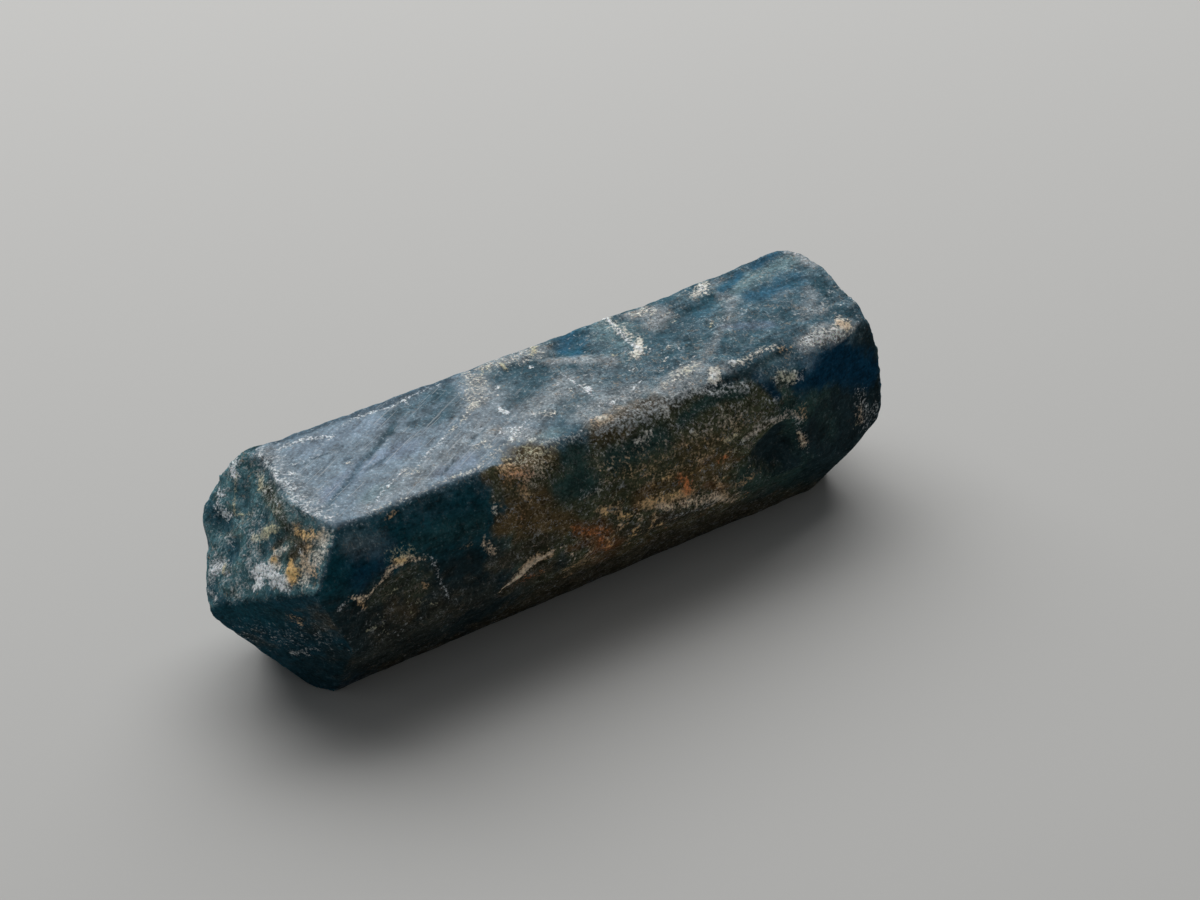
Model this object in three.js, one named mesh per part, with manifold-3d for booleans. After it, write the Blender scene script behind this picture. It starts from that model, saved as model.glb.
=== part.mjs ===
// A natural blue apatite crystal, lying on one of its prism faces.
//
// Millimetres, +Z up. The crystal's long axis is X: its pyramid end points to -X and its broken end
// to +X. The front is -Y. The origin is under the middle of the crystal, on the surface it rests on.
//
// The crystal grew as one piece, so it is one solid: an eight-sided bar, cut by one plane for each
// facet of its two ends, and then by ledges and shallow hollows where it broke or chipped.

import * as THREE from 'three';
import { mergeVertices } from 'three/addons/utils/BufferGeometryUtils.js';
import Module from 'manifold-3d';

const wasm = await Module();
wasm.setup();

// ---- Driving dimensions ----

const HEIGHT = 8.2; // from the face it rests on up to the parallel top face
const TOP_HALF_WIDTH = 2.95; // middle of the top face to its long edges
const SIDE_HALF_WIDTH = 3.93; // middle of the crystal to its upright side faces
const LOWER_SHOULDER = 3.3; // height at which a side face meets the face sloping in below it
const PRISM_SLOPE = Math.sqrt(3); // neighbouring faces of the six-sided prism are 60 degrees apart

const BAR_LENGTH = 40; // the uncut bar, longer than the crystal
const SPARE_HEIGHT = 1; // what the uncut bar has above the top face
const STEP_DEPTH = 0.2; // ledge left where the back face stopped growing
const MERGE_DISTANCE = 1e-4; // corners closer than this are one corner
const CUTTER_SIZE = 60; // side of the block that takes away everything beyond a facet
const PYRAMID_TILT = 40.3; // the way apatite's pyramid faces point, away from the long axis

// The far half of the top face is a second facet that climbs gently from a slanting crease.
const CREASE_POINT = [1.6, 2.0, HEIGHT];
const CREASE_TURN = 44; // direction of climb in degrees, turned from +X towards the back
const CREASE_CLIMB = 1.7; // degrees

// ---- Solids ----

/** Turn a three.js geometry into a solid that can be joined and cut. */
function solidOf(geometry) {
  const plain = geometry.clone();
  plain.deleteAttribute('normal');
  plain.deleteAttribute('uv');
  const merged = mergeVertices(plain, MERGE_DISTANCE);
  const mesh = new wasm.Mesh({
    numProp: 3,
    vertProperties: new Float32Array(merged.attributes.position.array),
    triVerts: new Uint32Array(merged.index.array),
  });
  return new wasm.Manifold(mesh);
}

/** Turn a solid back into a three.js geometry, with the origin under the middle of its box. */
function geometryOf(solid) {
  const mesh = solid.getMesh();
  const geometry = new THREE.BufferGeometry();
  geometry.setAttribute('position', new THREE.BufferAttribute(mesh.vertProperties, 3));
  geometry.setIndex(new THREE.BufferAttribute(mesh.triVerts, 1));
  geometry.computeBoundingBox();
  const middle = geometry.boundingBox.getCenter(new THREE.Vector3());
  geometry.translate(-middle.x, -middle.y, 0);
  geometry.computeVertexNormals();
  return geometry;
}

/**
 * Direction a facet faces. `end` is -1 for the pyramid end and +1 for the broken end, `tilt` is its
 * angle to the long axis, and `around` is 0 to the front, 90 up, 180 to the back and -90 down.
 */
function facing(end, tilt, around) {
  const t = THREE.MathUtils.degToRad(tilt);
  const a = THREE.MathUtils.degToRad(around);
  return new THREE.Vector3(
    end * Math.cos(t),
    -Math.sin(t) * Math.cos(a),
    Math.sin(t) * Math.sin(a),
  );
}

/** The half of space beyond the plane through `point` that faces `direction`, as a big block. */
function beyond(direction, point) {
  const block = new THREE.BoxGeometry(CUTTER_SIZE, CUTTER_SIZE, CUTTER_SIZE);
  block.translate(0, 0, CUTTER_SIZE / 2);
  block.applyQuaternion(
    new THREE.Quaternion().setFromUnitVectors(new THREE.Vector3(0, 0, 1), direction),
  );
  block.translate(...point);
  return solidOf(block);
}

/** Take away everything beyond one plane. */
function cutFacet(solid, direction, point) {
  return solid.subtract(beyond(direction, point));
}

/** Break a ledge: take away only what lies beyond both the tread's plane and the riser's plane. */
function breakLedge(solid, ledge) {
  const tread = beyond(facing(ledge.end, ledge.tread.tilt, ledge.tread.around), ledge.point);
  const riser = beyond(facing(ledge.end, ledge.riser.tilt, ledge.riser.around), ledge.point);
  return solid.subtract(tread.intersect(riser));
}

/** Take an egg-shaped hollow out of the solid, turned about X, Y and Z by `turn` degrees. */
function scoop(solid, hollow) {
  const egg = new THREE.IcosahedronGeometry(1, hollow.fineness);
  egg.scale(...hollow.radii);
  const angles = hollow.turn.map(THREE.MathUtils.degToRad);
  egg.applyQuaternion(new THREE.Quaternion().setFromEuler(new THREE.Euler(...angles)));
  egg.translate(...hollow.centre);
  return solid.subtract(solidOf(egg));
}

// ---- The bar ----

/** The prism's eight-sided section, carried on above the top face so that facets can trim it. */
function uncutBar() {
  const topHalf = TOP_HALF_WIDTH - SPARE_HEIGHT / PRISM_SLOPE;
  const upperShoulder = HEIGHT - (SIDE_HALF_WIDTH - TOP_HALF_WIDTH) * PRISM_SLOPE;
  const bottomHalf = SIDE_HALF_WIDTH - LOWER_SHOULDER / PRISM_SLOPE;
  const section = new THREE.Shape([
    new THREE.Vector2(bottomHalf, 0),
    new THREE.Vector2(SIDE_HALF_WIDTH, LOWER_SHOULDER),
    new THREE.Vector2(SIDE_HALF_WIDTH, upperShoulder),
    new THREE.Vector2(topHalf, HEIGHT + SPARE_HEIGHT),
    new THREE.Vector2(-topHalf, HEIGHT + SPARE_HEIGHT),
    new THREE.Vector2(-SIDE_HALF_WIDTH, upperShoulder),
    new THREE.Vector2(-SIDE_HALF_WIDTH, LOWER_SHOULDER),
    new THREE.Vector2(-bottomHalf, 0),
  ]);
  const bar = new THREE.ExtrudeGeometry(section, { depth: BAR_LENGTH, bevelEnabled: false });
  bar.translate(0, 0, -BAR_LENGTH / 2);
  // Section x, y and depth become the crystal's Y, Z and X.
  const axes = new THREE.Matrix4().set(0, 0, 1, 0, 1, 0, 0, 0, 0, 1, 0, 0, 0, 0, 0, 1);
  bar.applyMatrix4(axes);
  return solidOf(bar);
}

/** The bar with both facets of its top: the flat near half and the climbing far half. */
function topFacets(bar) {
  const flat = cutFacet(bar, new THREE.Vector3(0, 0, 1), [0, 0, HEIGHT]);
  const climb = THREE.MathUtils.degToRad(CREASE_CLIMB);
  const turn = THREE.MathUtils.degToRad(CREASE_TURN);
  const climbing = new THREE.Vector3(
    -Math.sin(climb) * Math.cos(turn),
    -Math.sin(climb) * Math.sin(turn),
    Math.cos(climb),
  );
  return flat.add(cutFacet(bar, climbing, CREASE_POINT));
}

// ---- The ends ----

/** Pyramid faces, each through a point on the long edge or face where it starts. */
const pyramidEnd = [
  { around: 90, tilt: PYRAMID_TILT, point: [-10.75, 0, 8.2] }, // above the top face
  { around: -30, tilt: PYRAMID_TILT, point: [-10.85, -3.93, 3.3] }, // front, leaning under
  { around: -90, tilt: PYRAMID_TILT, point: [-11.4, 0, 0] }, // beneath
  { around: 150, tilt: PYRAMID_TILT, point: [-12.2, 3.93, 6.5] }, // back, leaning over
  { around: 210, tilt: PYRAMID_TILT, point: [-11.7, 3.93, 3.3] }, // back, leaning under
  { around: 175, tilt: 33, point: [-13.6, 2.0, 4.85] }, // worn tip
];

/** The broken end: a rough cross break, with slanted splits off its front and back corners. */
const brokenEnd = [
  { around: 0, tilt: 7, point: [14.25, -2.9, 4.9] }, // the cross break
  { around: 66, tilt: 22, point: [13.8, -0.2, 8.4] }, // its upper rim
  { around: 180, tilt: 33, point: [14.2, 2.3, 8.2] }, // split at the back corner
  { around: -75, tilt: 24, point: [14.1, 0, 2.4] }, // its lower rim
  { around: 6, tilt: 75.5, point: [9.2, -3.93, 6.0] }, // long split across the front corner
  { around: -38, tilt: 65, point: [12.0, -3.6, 2.3] }, // under that split
  { around: 48, tilt: 60, point: [13.3, -2.4, 8.1] }, // above that split
];

/** The rubbed-down long edge between the far half of the top and the front. */
const rubbedEdge = { around: 60, tilt: 88.6, point: [-2.0, -2.95, 8.2] };

// ---- Broken surface ----

/** Ledges where the break stepped from one level to another, or growth stopped short of a face. */
const ledges = [
  {
    // A thin plate missing from the upper back of the cross break.
    end: 1,
    point: [14.25, 0.6, 5.2],
    tread: { tilt: 5, around: 120 },
    riser: { tilt: 86, around: 128 },
  },
  {
    // Growth stopped short along the upper part of the back face.
    end: 1,
    point: [0, SIDE_HALF_WIDTH - STEP_DEPTH, 5.3],
    tread: { tilt: 90, around: 180 },
    riser: { tilt: 91, around: 100 },
  },
];

/** Hollows left by flakes; the shallow ones are the edge of a large egg. */
const hollows = [
  // Out of the top's front edge.
  { centre: [-2.95, -3.45, 8.6], radii: [1.25, 1.25, 0.9], turn: [0, 0, 8], fineness: 5 },
  // In the front face, near the broken end.
  { centre: [8.0, -8.7, 4.6], radii: [4.6, 5.0, 4.2], turn: [0, 0, 0], fineness: 14 },
  // Shell-shaped flakes in the cross break.
  { centre: [17.6, -0.9, 5.3], radii: [3.6, 3.3, 3.4], turn: [0, 10, 0], fineness: 10 },
  { centre: [16.7, 2.3, 2.1], radii: [2.8, 3.0, 2.6], turn: [0, -20, 20], fineness: 9 },
  { centre: [15.9, -2.6, 1.2], radii: [2.4, 1.8, 1.9], turn: [0, 0, 30], fineness: 8 },
  // Off the back's long edges.
  { centre: [3.4, 4.5, 7.6], radii: [1.5, 0.8, 1.0], turn: [15, 0, 4], fineness: 5 },
  { centre: [-7.2, 4.6, 3.0], radii: [1.1, 0.85, 0.8], turn: [0, 0, -6], fineness: 5 },
];

// ---- Build ----

let crystal = topFacets(uncutBar());
for (const facet of pyramidEnd) {
  crystal = cutFacet(crystal, facing(-1, facet.tilt, facet.around), facet.point);
}
for (const facet of [...brokenEnd, rubbedEdge]) {
  crystal = cutFacet(crystal, facing(1, facet.tilt, facet.around), facet.point);
}
for (const ledge of ledges) {
  crystal = breakLedge(crystal, ledge);
}
for (const hollow of hollows) {
  crystal = scoop(crystal, hollow);
}

const apatite = new THREE.MeshStandardMaterial({
  color: 0x27485a,
  roughness: 0.42,
  metalness: 0,
  flatShading: true,
});
const crystalMesh = new THREE.Mesh(geometryOf(crystal), apatite);
crystalMesh.name = 'apatite_crystal';

const specimen = new THREE.Group();
specimen.add(crystalMesh);

export default specimen;
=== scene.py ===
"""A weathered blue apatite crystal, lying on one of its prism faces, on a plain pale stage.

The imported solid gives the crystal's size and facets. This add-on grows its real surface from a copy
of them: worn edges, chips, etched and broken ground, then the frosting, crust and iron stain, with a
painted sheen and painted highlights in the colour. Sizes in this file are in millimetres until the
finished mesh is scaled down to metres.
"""

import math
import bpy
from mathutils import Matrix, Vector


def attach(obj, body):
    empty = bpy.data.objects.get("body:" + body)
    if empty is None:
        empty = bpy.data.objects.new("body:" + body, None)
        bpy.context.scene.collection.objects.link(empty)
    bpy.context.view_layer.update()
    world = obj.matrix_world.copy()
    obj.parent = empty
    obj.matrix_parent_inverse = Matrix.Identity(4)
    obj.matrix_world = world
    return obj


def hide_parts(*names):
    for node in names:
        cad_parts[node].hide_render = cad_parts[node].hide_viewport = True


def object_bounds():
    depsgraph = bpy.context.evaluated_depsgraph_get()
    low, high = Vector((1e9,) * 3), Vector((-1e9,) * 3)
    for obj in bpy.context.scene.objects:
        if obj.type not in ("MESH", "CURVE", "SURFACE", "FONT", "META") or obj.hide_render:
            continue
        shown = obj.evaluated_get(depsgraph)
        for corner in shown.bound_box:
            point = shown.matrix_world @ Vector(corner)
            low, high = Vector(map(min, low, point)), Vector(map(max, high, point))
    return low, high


bl_info = {
    "name": "Apatite Crystal",
    "version": (1, 0, 0),
    "blender": (4, 5, 0),
    "location": "3D View > Sidebar > Crystal",
    "description": "Grows the weathered surface of a blue apatite crystal and lights it on a stage",
    "category": "Mesh",
}

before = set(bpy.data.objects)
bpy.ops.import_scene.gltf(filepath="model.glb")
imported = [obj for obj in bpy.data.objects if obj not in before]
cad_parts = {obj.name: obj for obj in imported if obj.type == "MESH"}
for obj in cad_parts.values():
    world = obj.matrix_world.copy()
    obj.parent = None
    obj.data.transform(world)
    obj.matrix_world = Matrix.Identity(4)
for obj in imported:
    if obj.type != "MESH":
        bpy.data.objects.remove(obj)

import bmesh
import bpy
import numpy as np
from mathutils import Vector, noise

NODE = "apatite_crystal"
CAD_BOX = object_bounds()
MM = 0.001
NOISE_SEED = 7

TOP_HEIGHT = 8.2  # of the near half's top face
SIDE = 3.93  # middle of the crystal to its upright side faces
COS_60, SIN_60 = 0.5, 0.866  # neighbouring prism faces are 60 degrees apart
PYRAMID = math.radians(40.3)  # how far a pyramid face points away from the long axis
SIN_T, COS_T = math.sin(PYRAMID), math.cos(PYRAMID)
BASE = 1.0  # strength of a wash that the strewn marks lie over


# ---- Settings a user would change ----


class CrystalShape(bpy.types.PropertyGroup):
    """How finely and how deeply the crystal's surface is worked."""

    grain: bpy.props.FloatProperty(
        name="Grain", description="Width of the mesh's faces, in millimetres",
        default=0.104, min=0.103, max=0.5)
    wear: bpy.props.IntProperty(
        name="Wear", description="How often the edges are rubbed down", default=3, min=0, max=20)
    relief: bpy.props.FloatProperty(
        name="Relief", description="Strength of all the etching and chipping", default=1.0, min=0, max=2)


# Each wash is a colour laid smoothly over the body: (colour, flecks, pits, gloss, lift, description).
# Flecks and pits are how thickly pale grains and dark pits are strewn; lift is its height in millimetres.
WASHES = {
    # Silk and lilac are the near top's etched blue, with a painted sheen laid into the colour.
    "silk": ((0.180, 0.255, 0.320), 0.25, 0.15, 1.00, 0.00, "Silvery etched blue of the near top"),
    "lilac": ((0.190, 0.255, 0.370), 0.15, 0.10, 1.00, 0.00, "Violet cast in the silvery blue"),
    "dusk": ((0.066, 0.130, 0.168), 0.28, 0.40, 0.30, -0.01, "Darker grey-blue of the far top"),
    "ash": ((0.310, 0.350, 0.375), 0.50, 0.45, 0.25, 0.01, "Pale rubbed grey-blue"),
    "groove": ((0.070, 0.110, 0.145), 0.10, 0.30, 0.40, -0.04, "Bottoms of the etched grooves"),
    "milk": ((0.165, 0.270, 0.300), 0.35, 0.30, 0.30, 0.00, "Cloudy pale teal"),
    "pool": ((0.030, 0.095, 0.130), 0.06, 0.20, 0.30, -0.04, "Deep teal hollows"),
    "azure": ((0.030, 0.118, 0.190), 0.05, 0.05, 0.30, -0.02, "Clear saturated blue near thin edges"),
    "teal": ((0.085, 0.195, 0.225), 0.34, 0.45, 0.15, 0.00, "Etched teal of the pyramid face"),
    "cobalt": ((0.012, 0.054, 0.078), 0.02, 0.15, 0.10, 0.00, "Dark blue of the lower pyramid face"),
    "blue": ((0.006, 0.060, 0.083), 0.02, 0.10, 0.20, 0.00, "Deep clear blue of the upper front"),
    "spruce": ((0.028, 0.066, 0.060), 0.06, 0.30, 0.10, 0.00, "Green-black blue under thin film"),
    "ink": ((0.014, 0.031, 0.037), 0.02, 0.10, 0.12, -0.03, "Glassy hollows that show the dark inside"),
    "navy": ((0.005, 0.042, 0.085), 0.01, 0.10, 0.03, 0.00, "Dark blue of the split corner"),
    "moss": ((0.070, 0.080, 0.045), 0.35, 0.50, 0.00, 0.00, "Greenish earthy film"),
    "umber": ((0.125, 0.088, 0.040), 0.40, 0.50, 0.00, 0.00, "Brown earthy film"),
    "loam": ((0.058, 0.054, 0.036), 0.22, 0.40, 0.00, 0.00, "Near-black earthy film"),
    "russet": ((0.175, 0.082, 0.034), 0.40, 0.50, 0.00, 0.00, "Red-brown iron film"),
}

# Each crust is a colour that lies on top in grains: (colour, lift, description).
CRUSTS = {
    # Pearl is white frost and bruising, and it also paints highlights and glints.
    "pearl": ((0.820, 0.870, 0.900), 0.02, "White bruises and frosting"),
    "chalk": ((0.480, 0.510, 0.520), 0.01, "Grey-white powdery crust"),
    "cream": ((0.740, 0.720, 0.645), 0.02, "Cream mineral crust"),
    "bone": ((0.820, 0.660, 0.490), 0.02, "Pinkish tan crust"),
    "straw": ((0.600, 0.580, 0.400), 0.02, "Yellowish crust"),
    "tan": ((0.620, 0.430, 0.250), 0.02, "Tan crust"),
    "rust": ((0.700, 0.260, 0.100), 0.02, "Orange iron stain"),
    "ochre": ((0.930, 0.620, 0.280), 0.03, "Yellow-orange iron stain"),
}


class CrystalColours(bpy.types.PropertyGroup):
    """Colours of the crystal and of what has grown or settled on it."""

    __annotations__ = {
        name: bpy.props.FloatVectorProperty(
            name=name.capitalize(), description=finish[-1], subtype="COLOR", size=3,
            default=finish[0], min=0, max=1)
        for name, finish in {**WASHES, **CRUSTS}.items()
    }


class CrystalStage(bpy.types.PropertyGroup):
    """The floor, the lights and the camera."""

    floor: bpy.props.FloatVectorProperty(
        name="Floor", description="Colour of the floor", subtype="COLOR", size=3,
        default=(0.56, 0.555, 0.54), min=0, max=1)
    window: bpy.props.FloatProperty(
        name="Window", description="Power of the broad light behind the crystal, in watts",
        default=0.70, min=0)
    fill: bpy.props.FloatProperty(
        name="Fill", description="Strength of the light from all round", default=0.14, min=0)
    azimuth: bpy.props.FloatProperty(
        name="Azimuth", description="Camera's turn about the crystal", subtype="ANGLE",
        default=math.radians(-34.3))
    elevation: bpy.props.FloatProperty(
        name="Elevation", description="Camera's height above the floor, as an angle", subtype="ANGLE",
        default=math.radians(35.5))
    distance: bpy.props.FloatProperty(
        name="Distance", description="Camera to the point it looks at", subtype="DISTANCE", unit="LENGTH",
        default=0.103)
    lens: bpy.props.FloatProperty(
        name="Lens", description="Focal length, in millimetres", default=78.0)


# ---- The facets that marks are laid out on, in the order they are painted ----


class Facet:
    """A plane seen from outside: u to the right, v up, both in millimetres from its origin.

    `reach` is how near to its own direction a surface faces where the facet ends and begins.
    """

    def __init__(self, origin, right, up, reach=(0.70, 0.86)):
        self.reach = reach
        self.origin = np.array(origin, float)
        self.right = np.array(right, float) / np.linalg.norm(right)
        self.up = np.array(up, float) / np.linalg.norm(up)
        self.out = np.cross(self.right, self.up)

    def place(self, u, v):
        """The point at u, v."""
        return self.origin + u * self.right + v * self.up

    def flatten(self, points):
        """Each point's u, v and a small share of its height, for measuring distances in."""
        away = points - self.origin
        return np.stack([away @ self.right, away @ self.up, 0.25 * (away @ self.out)], axis=1)

    def faced(self, normals):
        """1 where the surface faces this facet's way, 0 where it faces another's."""
        return smooth(*self.reach, normals @ self.out)


NARROW = (0.90, 0.97)  # reach of a facet that meets its neighbours at 30 degrees and keeps off them
LEVEL = (0.80, 0.93)  # reach of the top
FACETS = {
    "underside": Facet((0, 0, 0), (1, 0, 0), (0, -1, 0), NARROW),
    "end": Facet((14.2, 0, 0), (0, 1, 0), (0, 0, 1)),
    "lower back": Facet((0, 2.02, 0), (-1, 0, 0), (0, COS_60, SIN_60), NARROW),
    "back": Facet((0, SIDE, 0), (-1, 0, 0), (0, 0, 1), NARROW),
    "back shoulder": Facet((0, SIDE, 6.5), (-1, 0, 0), (0, -COS_60, SIN_60), NARROW),
    "back pyramid": Facet((-12.4, SIDE, 5.0), (-0.592, -0.806, 0), (0.2, -0.15, 0.968)),
    "lower front": Facet((0, -2.02, 0), (1, 0, 0), (0, -COS_60, SIN_60)),
    "lower pyramid": Facet((-11.04, -SIDE, 3.3), (0.592, -0.806, 0), (-0.261, -0.192, 0.946)),
    "pyramid": Facet((-10.94, 0, TOP_HEIGHT), (0, -1, 0), (SIN_T, 0, COS_T)),
    "front": Facet((0, -SIDE, 0), (1, 0, 0), (0, 0, 1)),
    "shoulder": Facet((0, -SIDE, 6.5), (1, 0, 0), (0, COS_60, SIN_60)),
    "split": Facet((12.0, -3.0, 4.5), (0.968, 0.25, 0), (0, 0, 1)),
    "top ground": Facet((0, 0, TOP_HEIGHT), (1, 0, 0), (0, 1, 0), LEVEL),
    "top": Facet((0, 0, TOP_HEIGHT), (1, 0, 0), (0, 1, 0), LEVEL),
    "front rim": Facet((0, -2.95, TOP_HEIGHT), (1, 0, 0), (0, SIN_60, COS_60), (0.80, 0.92)),
    "rim": Facet((-11.0, 0, TOP_HEIGHT), (0, -1, 0), (0.91, 0, 0.42), (0.78, 0.90)),
    "notch": Facet((-2.95, -3.1, 7.9), (1, 0, 0), (0, 0.82, 0.57)),
}

# Places rubbed round: (centre, radii, share of them where the rubbing is full, share where it ends).
RUBBED = [
    ((5.5, -3.2, 8.0), (9.5, 1.5, 1.6), 0.35, 1.25),  # long front edge of the far half
    ((-2.95, -3.0, 8.0), (1.7, 1.2, 1.0), 0.6, 1.1),  # notch in the top's front edge
    ((14.2, 3.2, 8.2), (1.4, 1.2, 1.4), 0.4, 1.1),  # far back corner of the top
]

# Where the crystal stands out from its facets or is sunk into them: (facet, (u, v), radii, height, rim),
# with the rim from 0 for a slope over the whole patch to near 1 for a step.
SWELLS = [
    ("pyramid", (0.8, -0.3), (3, 2.7, 3), 0.42, 0),  # bows out below the top's rim
    ("pyramid", (-3.5, -3.3), (2, 1.3, 1.7), 0.26, 0),  # bulge of the outer edge
    ("pyramid", (-2.5, -4), (0.6, 0.5, 0.45), -0.08, 0.2),
    ("pyramid", (-3.3, -0.6), (1.4, 1.3, 1.3), 0.24, 0),
    ("pyramid", (2, -1.2), (1.1, 1.4, 1.1), -0.06, 0.4),
    ("pyramid", (1.8, -3), (0.9, 1.3, 0.8), 0.1, 0.3),
    ("pyramid", (-2.2, -1.8), (0.5, 0.8, 0.6), -0.1, 0.3),
    ("pyramid", (-1, -3.4), (0.5, 0.5, 0.5), -0.08, 0.3),
    ("notch", (0, -0.3), (1.4, 1.2, 1), 0.16, 0),
    ("top", (-10.9, -3.1), (1.1, 0.8, 0.8), -0.22, 0),  # worn corner of the top
    ("front", (-9.2, 4.2), (1.7, 0.6, 1.8), -0.14, 0.75),  # flake gone from the front
    ("front", (-3.4, 3.1), (1.5, 0.6, 0.9), -0.12, 0.8),  # beneath the long crack
    ("front", (-6.1, 4.6), (1.1, 0.6, 1.5), -0.07, 0.5),
    ("front", (8, 4.6), (1.3, 1, 1.4), -0.12, 0.4),
    ("front", (3.4, 4.2), (2.2, 0.6, 0.8), 0.06, 0.2),
    ("top", (2.6, 2.2), (1.2, 0.9, 0.6), -0.1, 0.3),
    ("top", (8, 1.2), (1.5, 0.6, 0.6), -0.09, 0.3),
    ("top", (7.4, -1.7), (1, 0.5, 0.6), -0.07, 0.3),
    ("top", (11, 2.4), (2.4, 0.6, 0.8), -0.05, 0.2),
    ("top", (7, 2.9), (1.6, 0.4, 0.6), -0.06, 0.2),
    ("top", (12.6, 3.2), (2.4, 0.9, 0.9), 0.14, 0),
    ("top", (-0.5, 0.8), (1.1, 0.7, 0.5), -0.05, 0.2),
    ("top", (5.9, 2.2), (1, 0.7, 0.5), 0.05, 0.2),
    ("top", (11.6, -2.6), (1.3, 0.6, 0.8), 0.12, 0.2),  # pale crest at the far corner
    ("top", (4.8, -2.2), (1.6, 0.6, 0.6), 0.06, 0.2),
    ("top", (12.9, -0.3), (0.4, 0.8, 0.5), -0.08, 0.3),
    ("split", (2.3, -0.6), (1.1, 1, 2), 0.22, 0),
    ("end", (-0.9, 5.6), (0.8, 1.6, 1.4), -0.22, 0.6),  # shell-shaped flakes of the break
    ("end", (1.7, 6.6), (0.8, 1.2, 1), -0.16, 0.6),
    ("end", (-1.6, 2.2), (0.8, 1.3, 1.2), -0.18, 0.6),
    ("end", (0.9, 3.2), (0.8, 0.9, 1.1), 0.12, 0.3),
    ("end", (2, 4.6), (0.8, 0.7, 1.3), -0.14, 0.5),
    ("back", (-6.5, 4.6), (2.6, 0.8, 1), -0.1, 0.7),
    ("back", (2.2, 5.2), (3.2, 0.8, 0.7), -0.08, 0.7),
    ("back", (7.6, 4), (1.8, 0.8, 1.1), -0.12, 0.6),
    ("back shoulder", (-2, 1), (2.2, 0.8, 0.7), -0.1, 0.6),
    ("lower back", (4.4, 2.4), (2.4, 0.8, 0.8), -0.1, 0.6),
    ("split", (-0.4, 1.8), (1.8, 1, 1.2), -0.06, 0),
]

# Marks painted on each facet, first to last: (finish, softness, strength, spots), where the spots are
# (u, v, radius) and the mark runs through them in order.
MARKS = {}
MARKS["lower front"] = [
    ("loam", 0.5, 1, (-14, 1.5, 5), (15, 1.5, 5)),
    ("umber", 0.8, 0.6, (-10.4, 3.3, 0.7), (-8, 3.4, 0.8)),
    ("umber", 0.8, 0.9, (-1.4, 3.1, 0.6), (1.2, 2.9, 0.8), (5.6, 3.2, 0.6)),
    ("russet", 0.8, 0.8, (-0.8, 3.2, 0.5), (0.4, 2.6, 0.5)),
    ("tan", 0.8, 0.7, (-1.5, 3.2, 0.3), (-0.6, 3, 0.3)),
    ("tan", 0.8, 0.6, (5.2, 3.5, 0.25), (6.2, 3.1, 0.25)),
    ("bone", 0.8, 0.7, (5.5, 3.4, 0.2), (6.2, 3, 0.25)),
    ("ink", 0.6, 0.8, (-6.9, 3, 0.7), (-5, 2.6, 0.7)),
    ("navy", 0.8, 0.7, (-11.5, 2, 0.8), (-10.5, 0.8, 0.8)),
    ("ink", 0.8, 0.9, (8, 2.6, 0.9), (12, 2.4, 1)),
]
MARKS["lower pyramid"] = [
    ("cobalt", 0.5, 1, (-2.5, 0, 7), (1, 0, 4)),
    ("blue", 0.8, 0.6, (-4.6, 0.8, 0.8), (-3, 1.2, 0.7)),
    ("ink", 0.8, 0.6, (-2.2, -2.4, 1.1), (0.4, -1, 1)),
    ("ink", 0.9, 0.6, (-1.4, 0.2, 0.8), (-0.6, -0.4, 0.8)),
    ("umber", 0.8, 0.4, (-0.4, 1.8, 0.8), (0.9, 2.2, 0.6)),
    ("tan", 0.7, 0.4, (-2.2, 1.3, 0.2), (-1.8, 1.1, 0.2)),
    ("chalk", 0.8, 0.2, (-4.2, -0.6, 0.8), (-1.2, 0.4, 0.6)),
]
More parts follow.
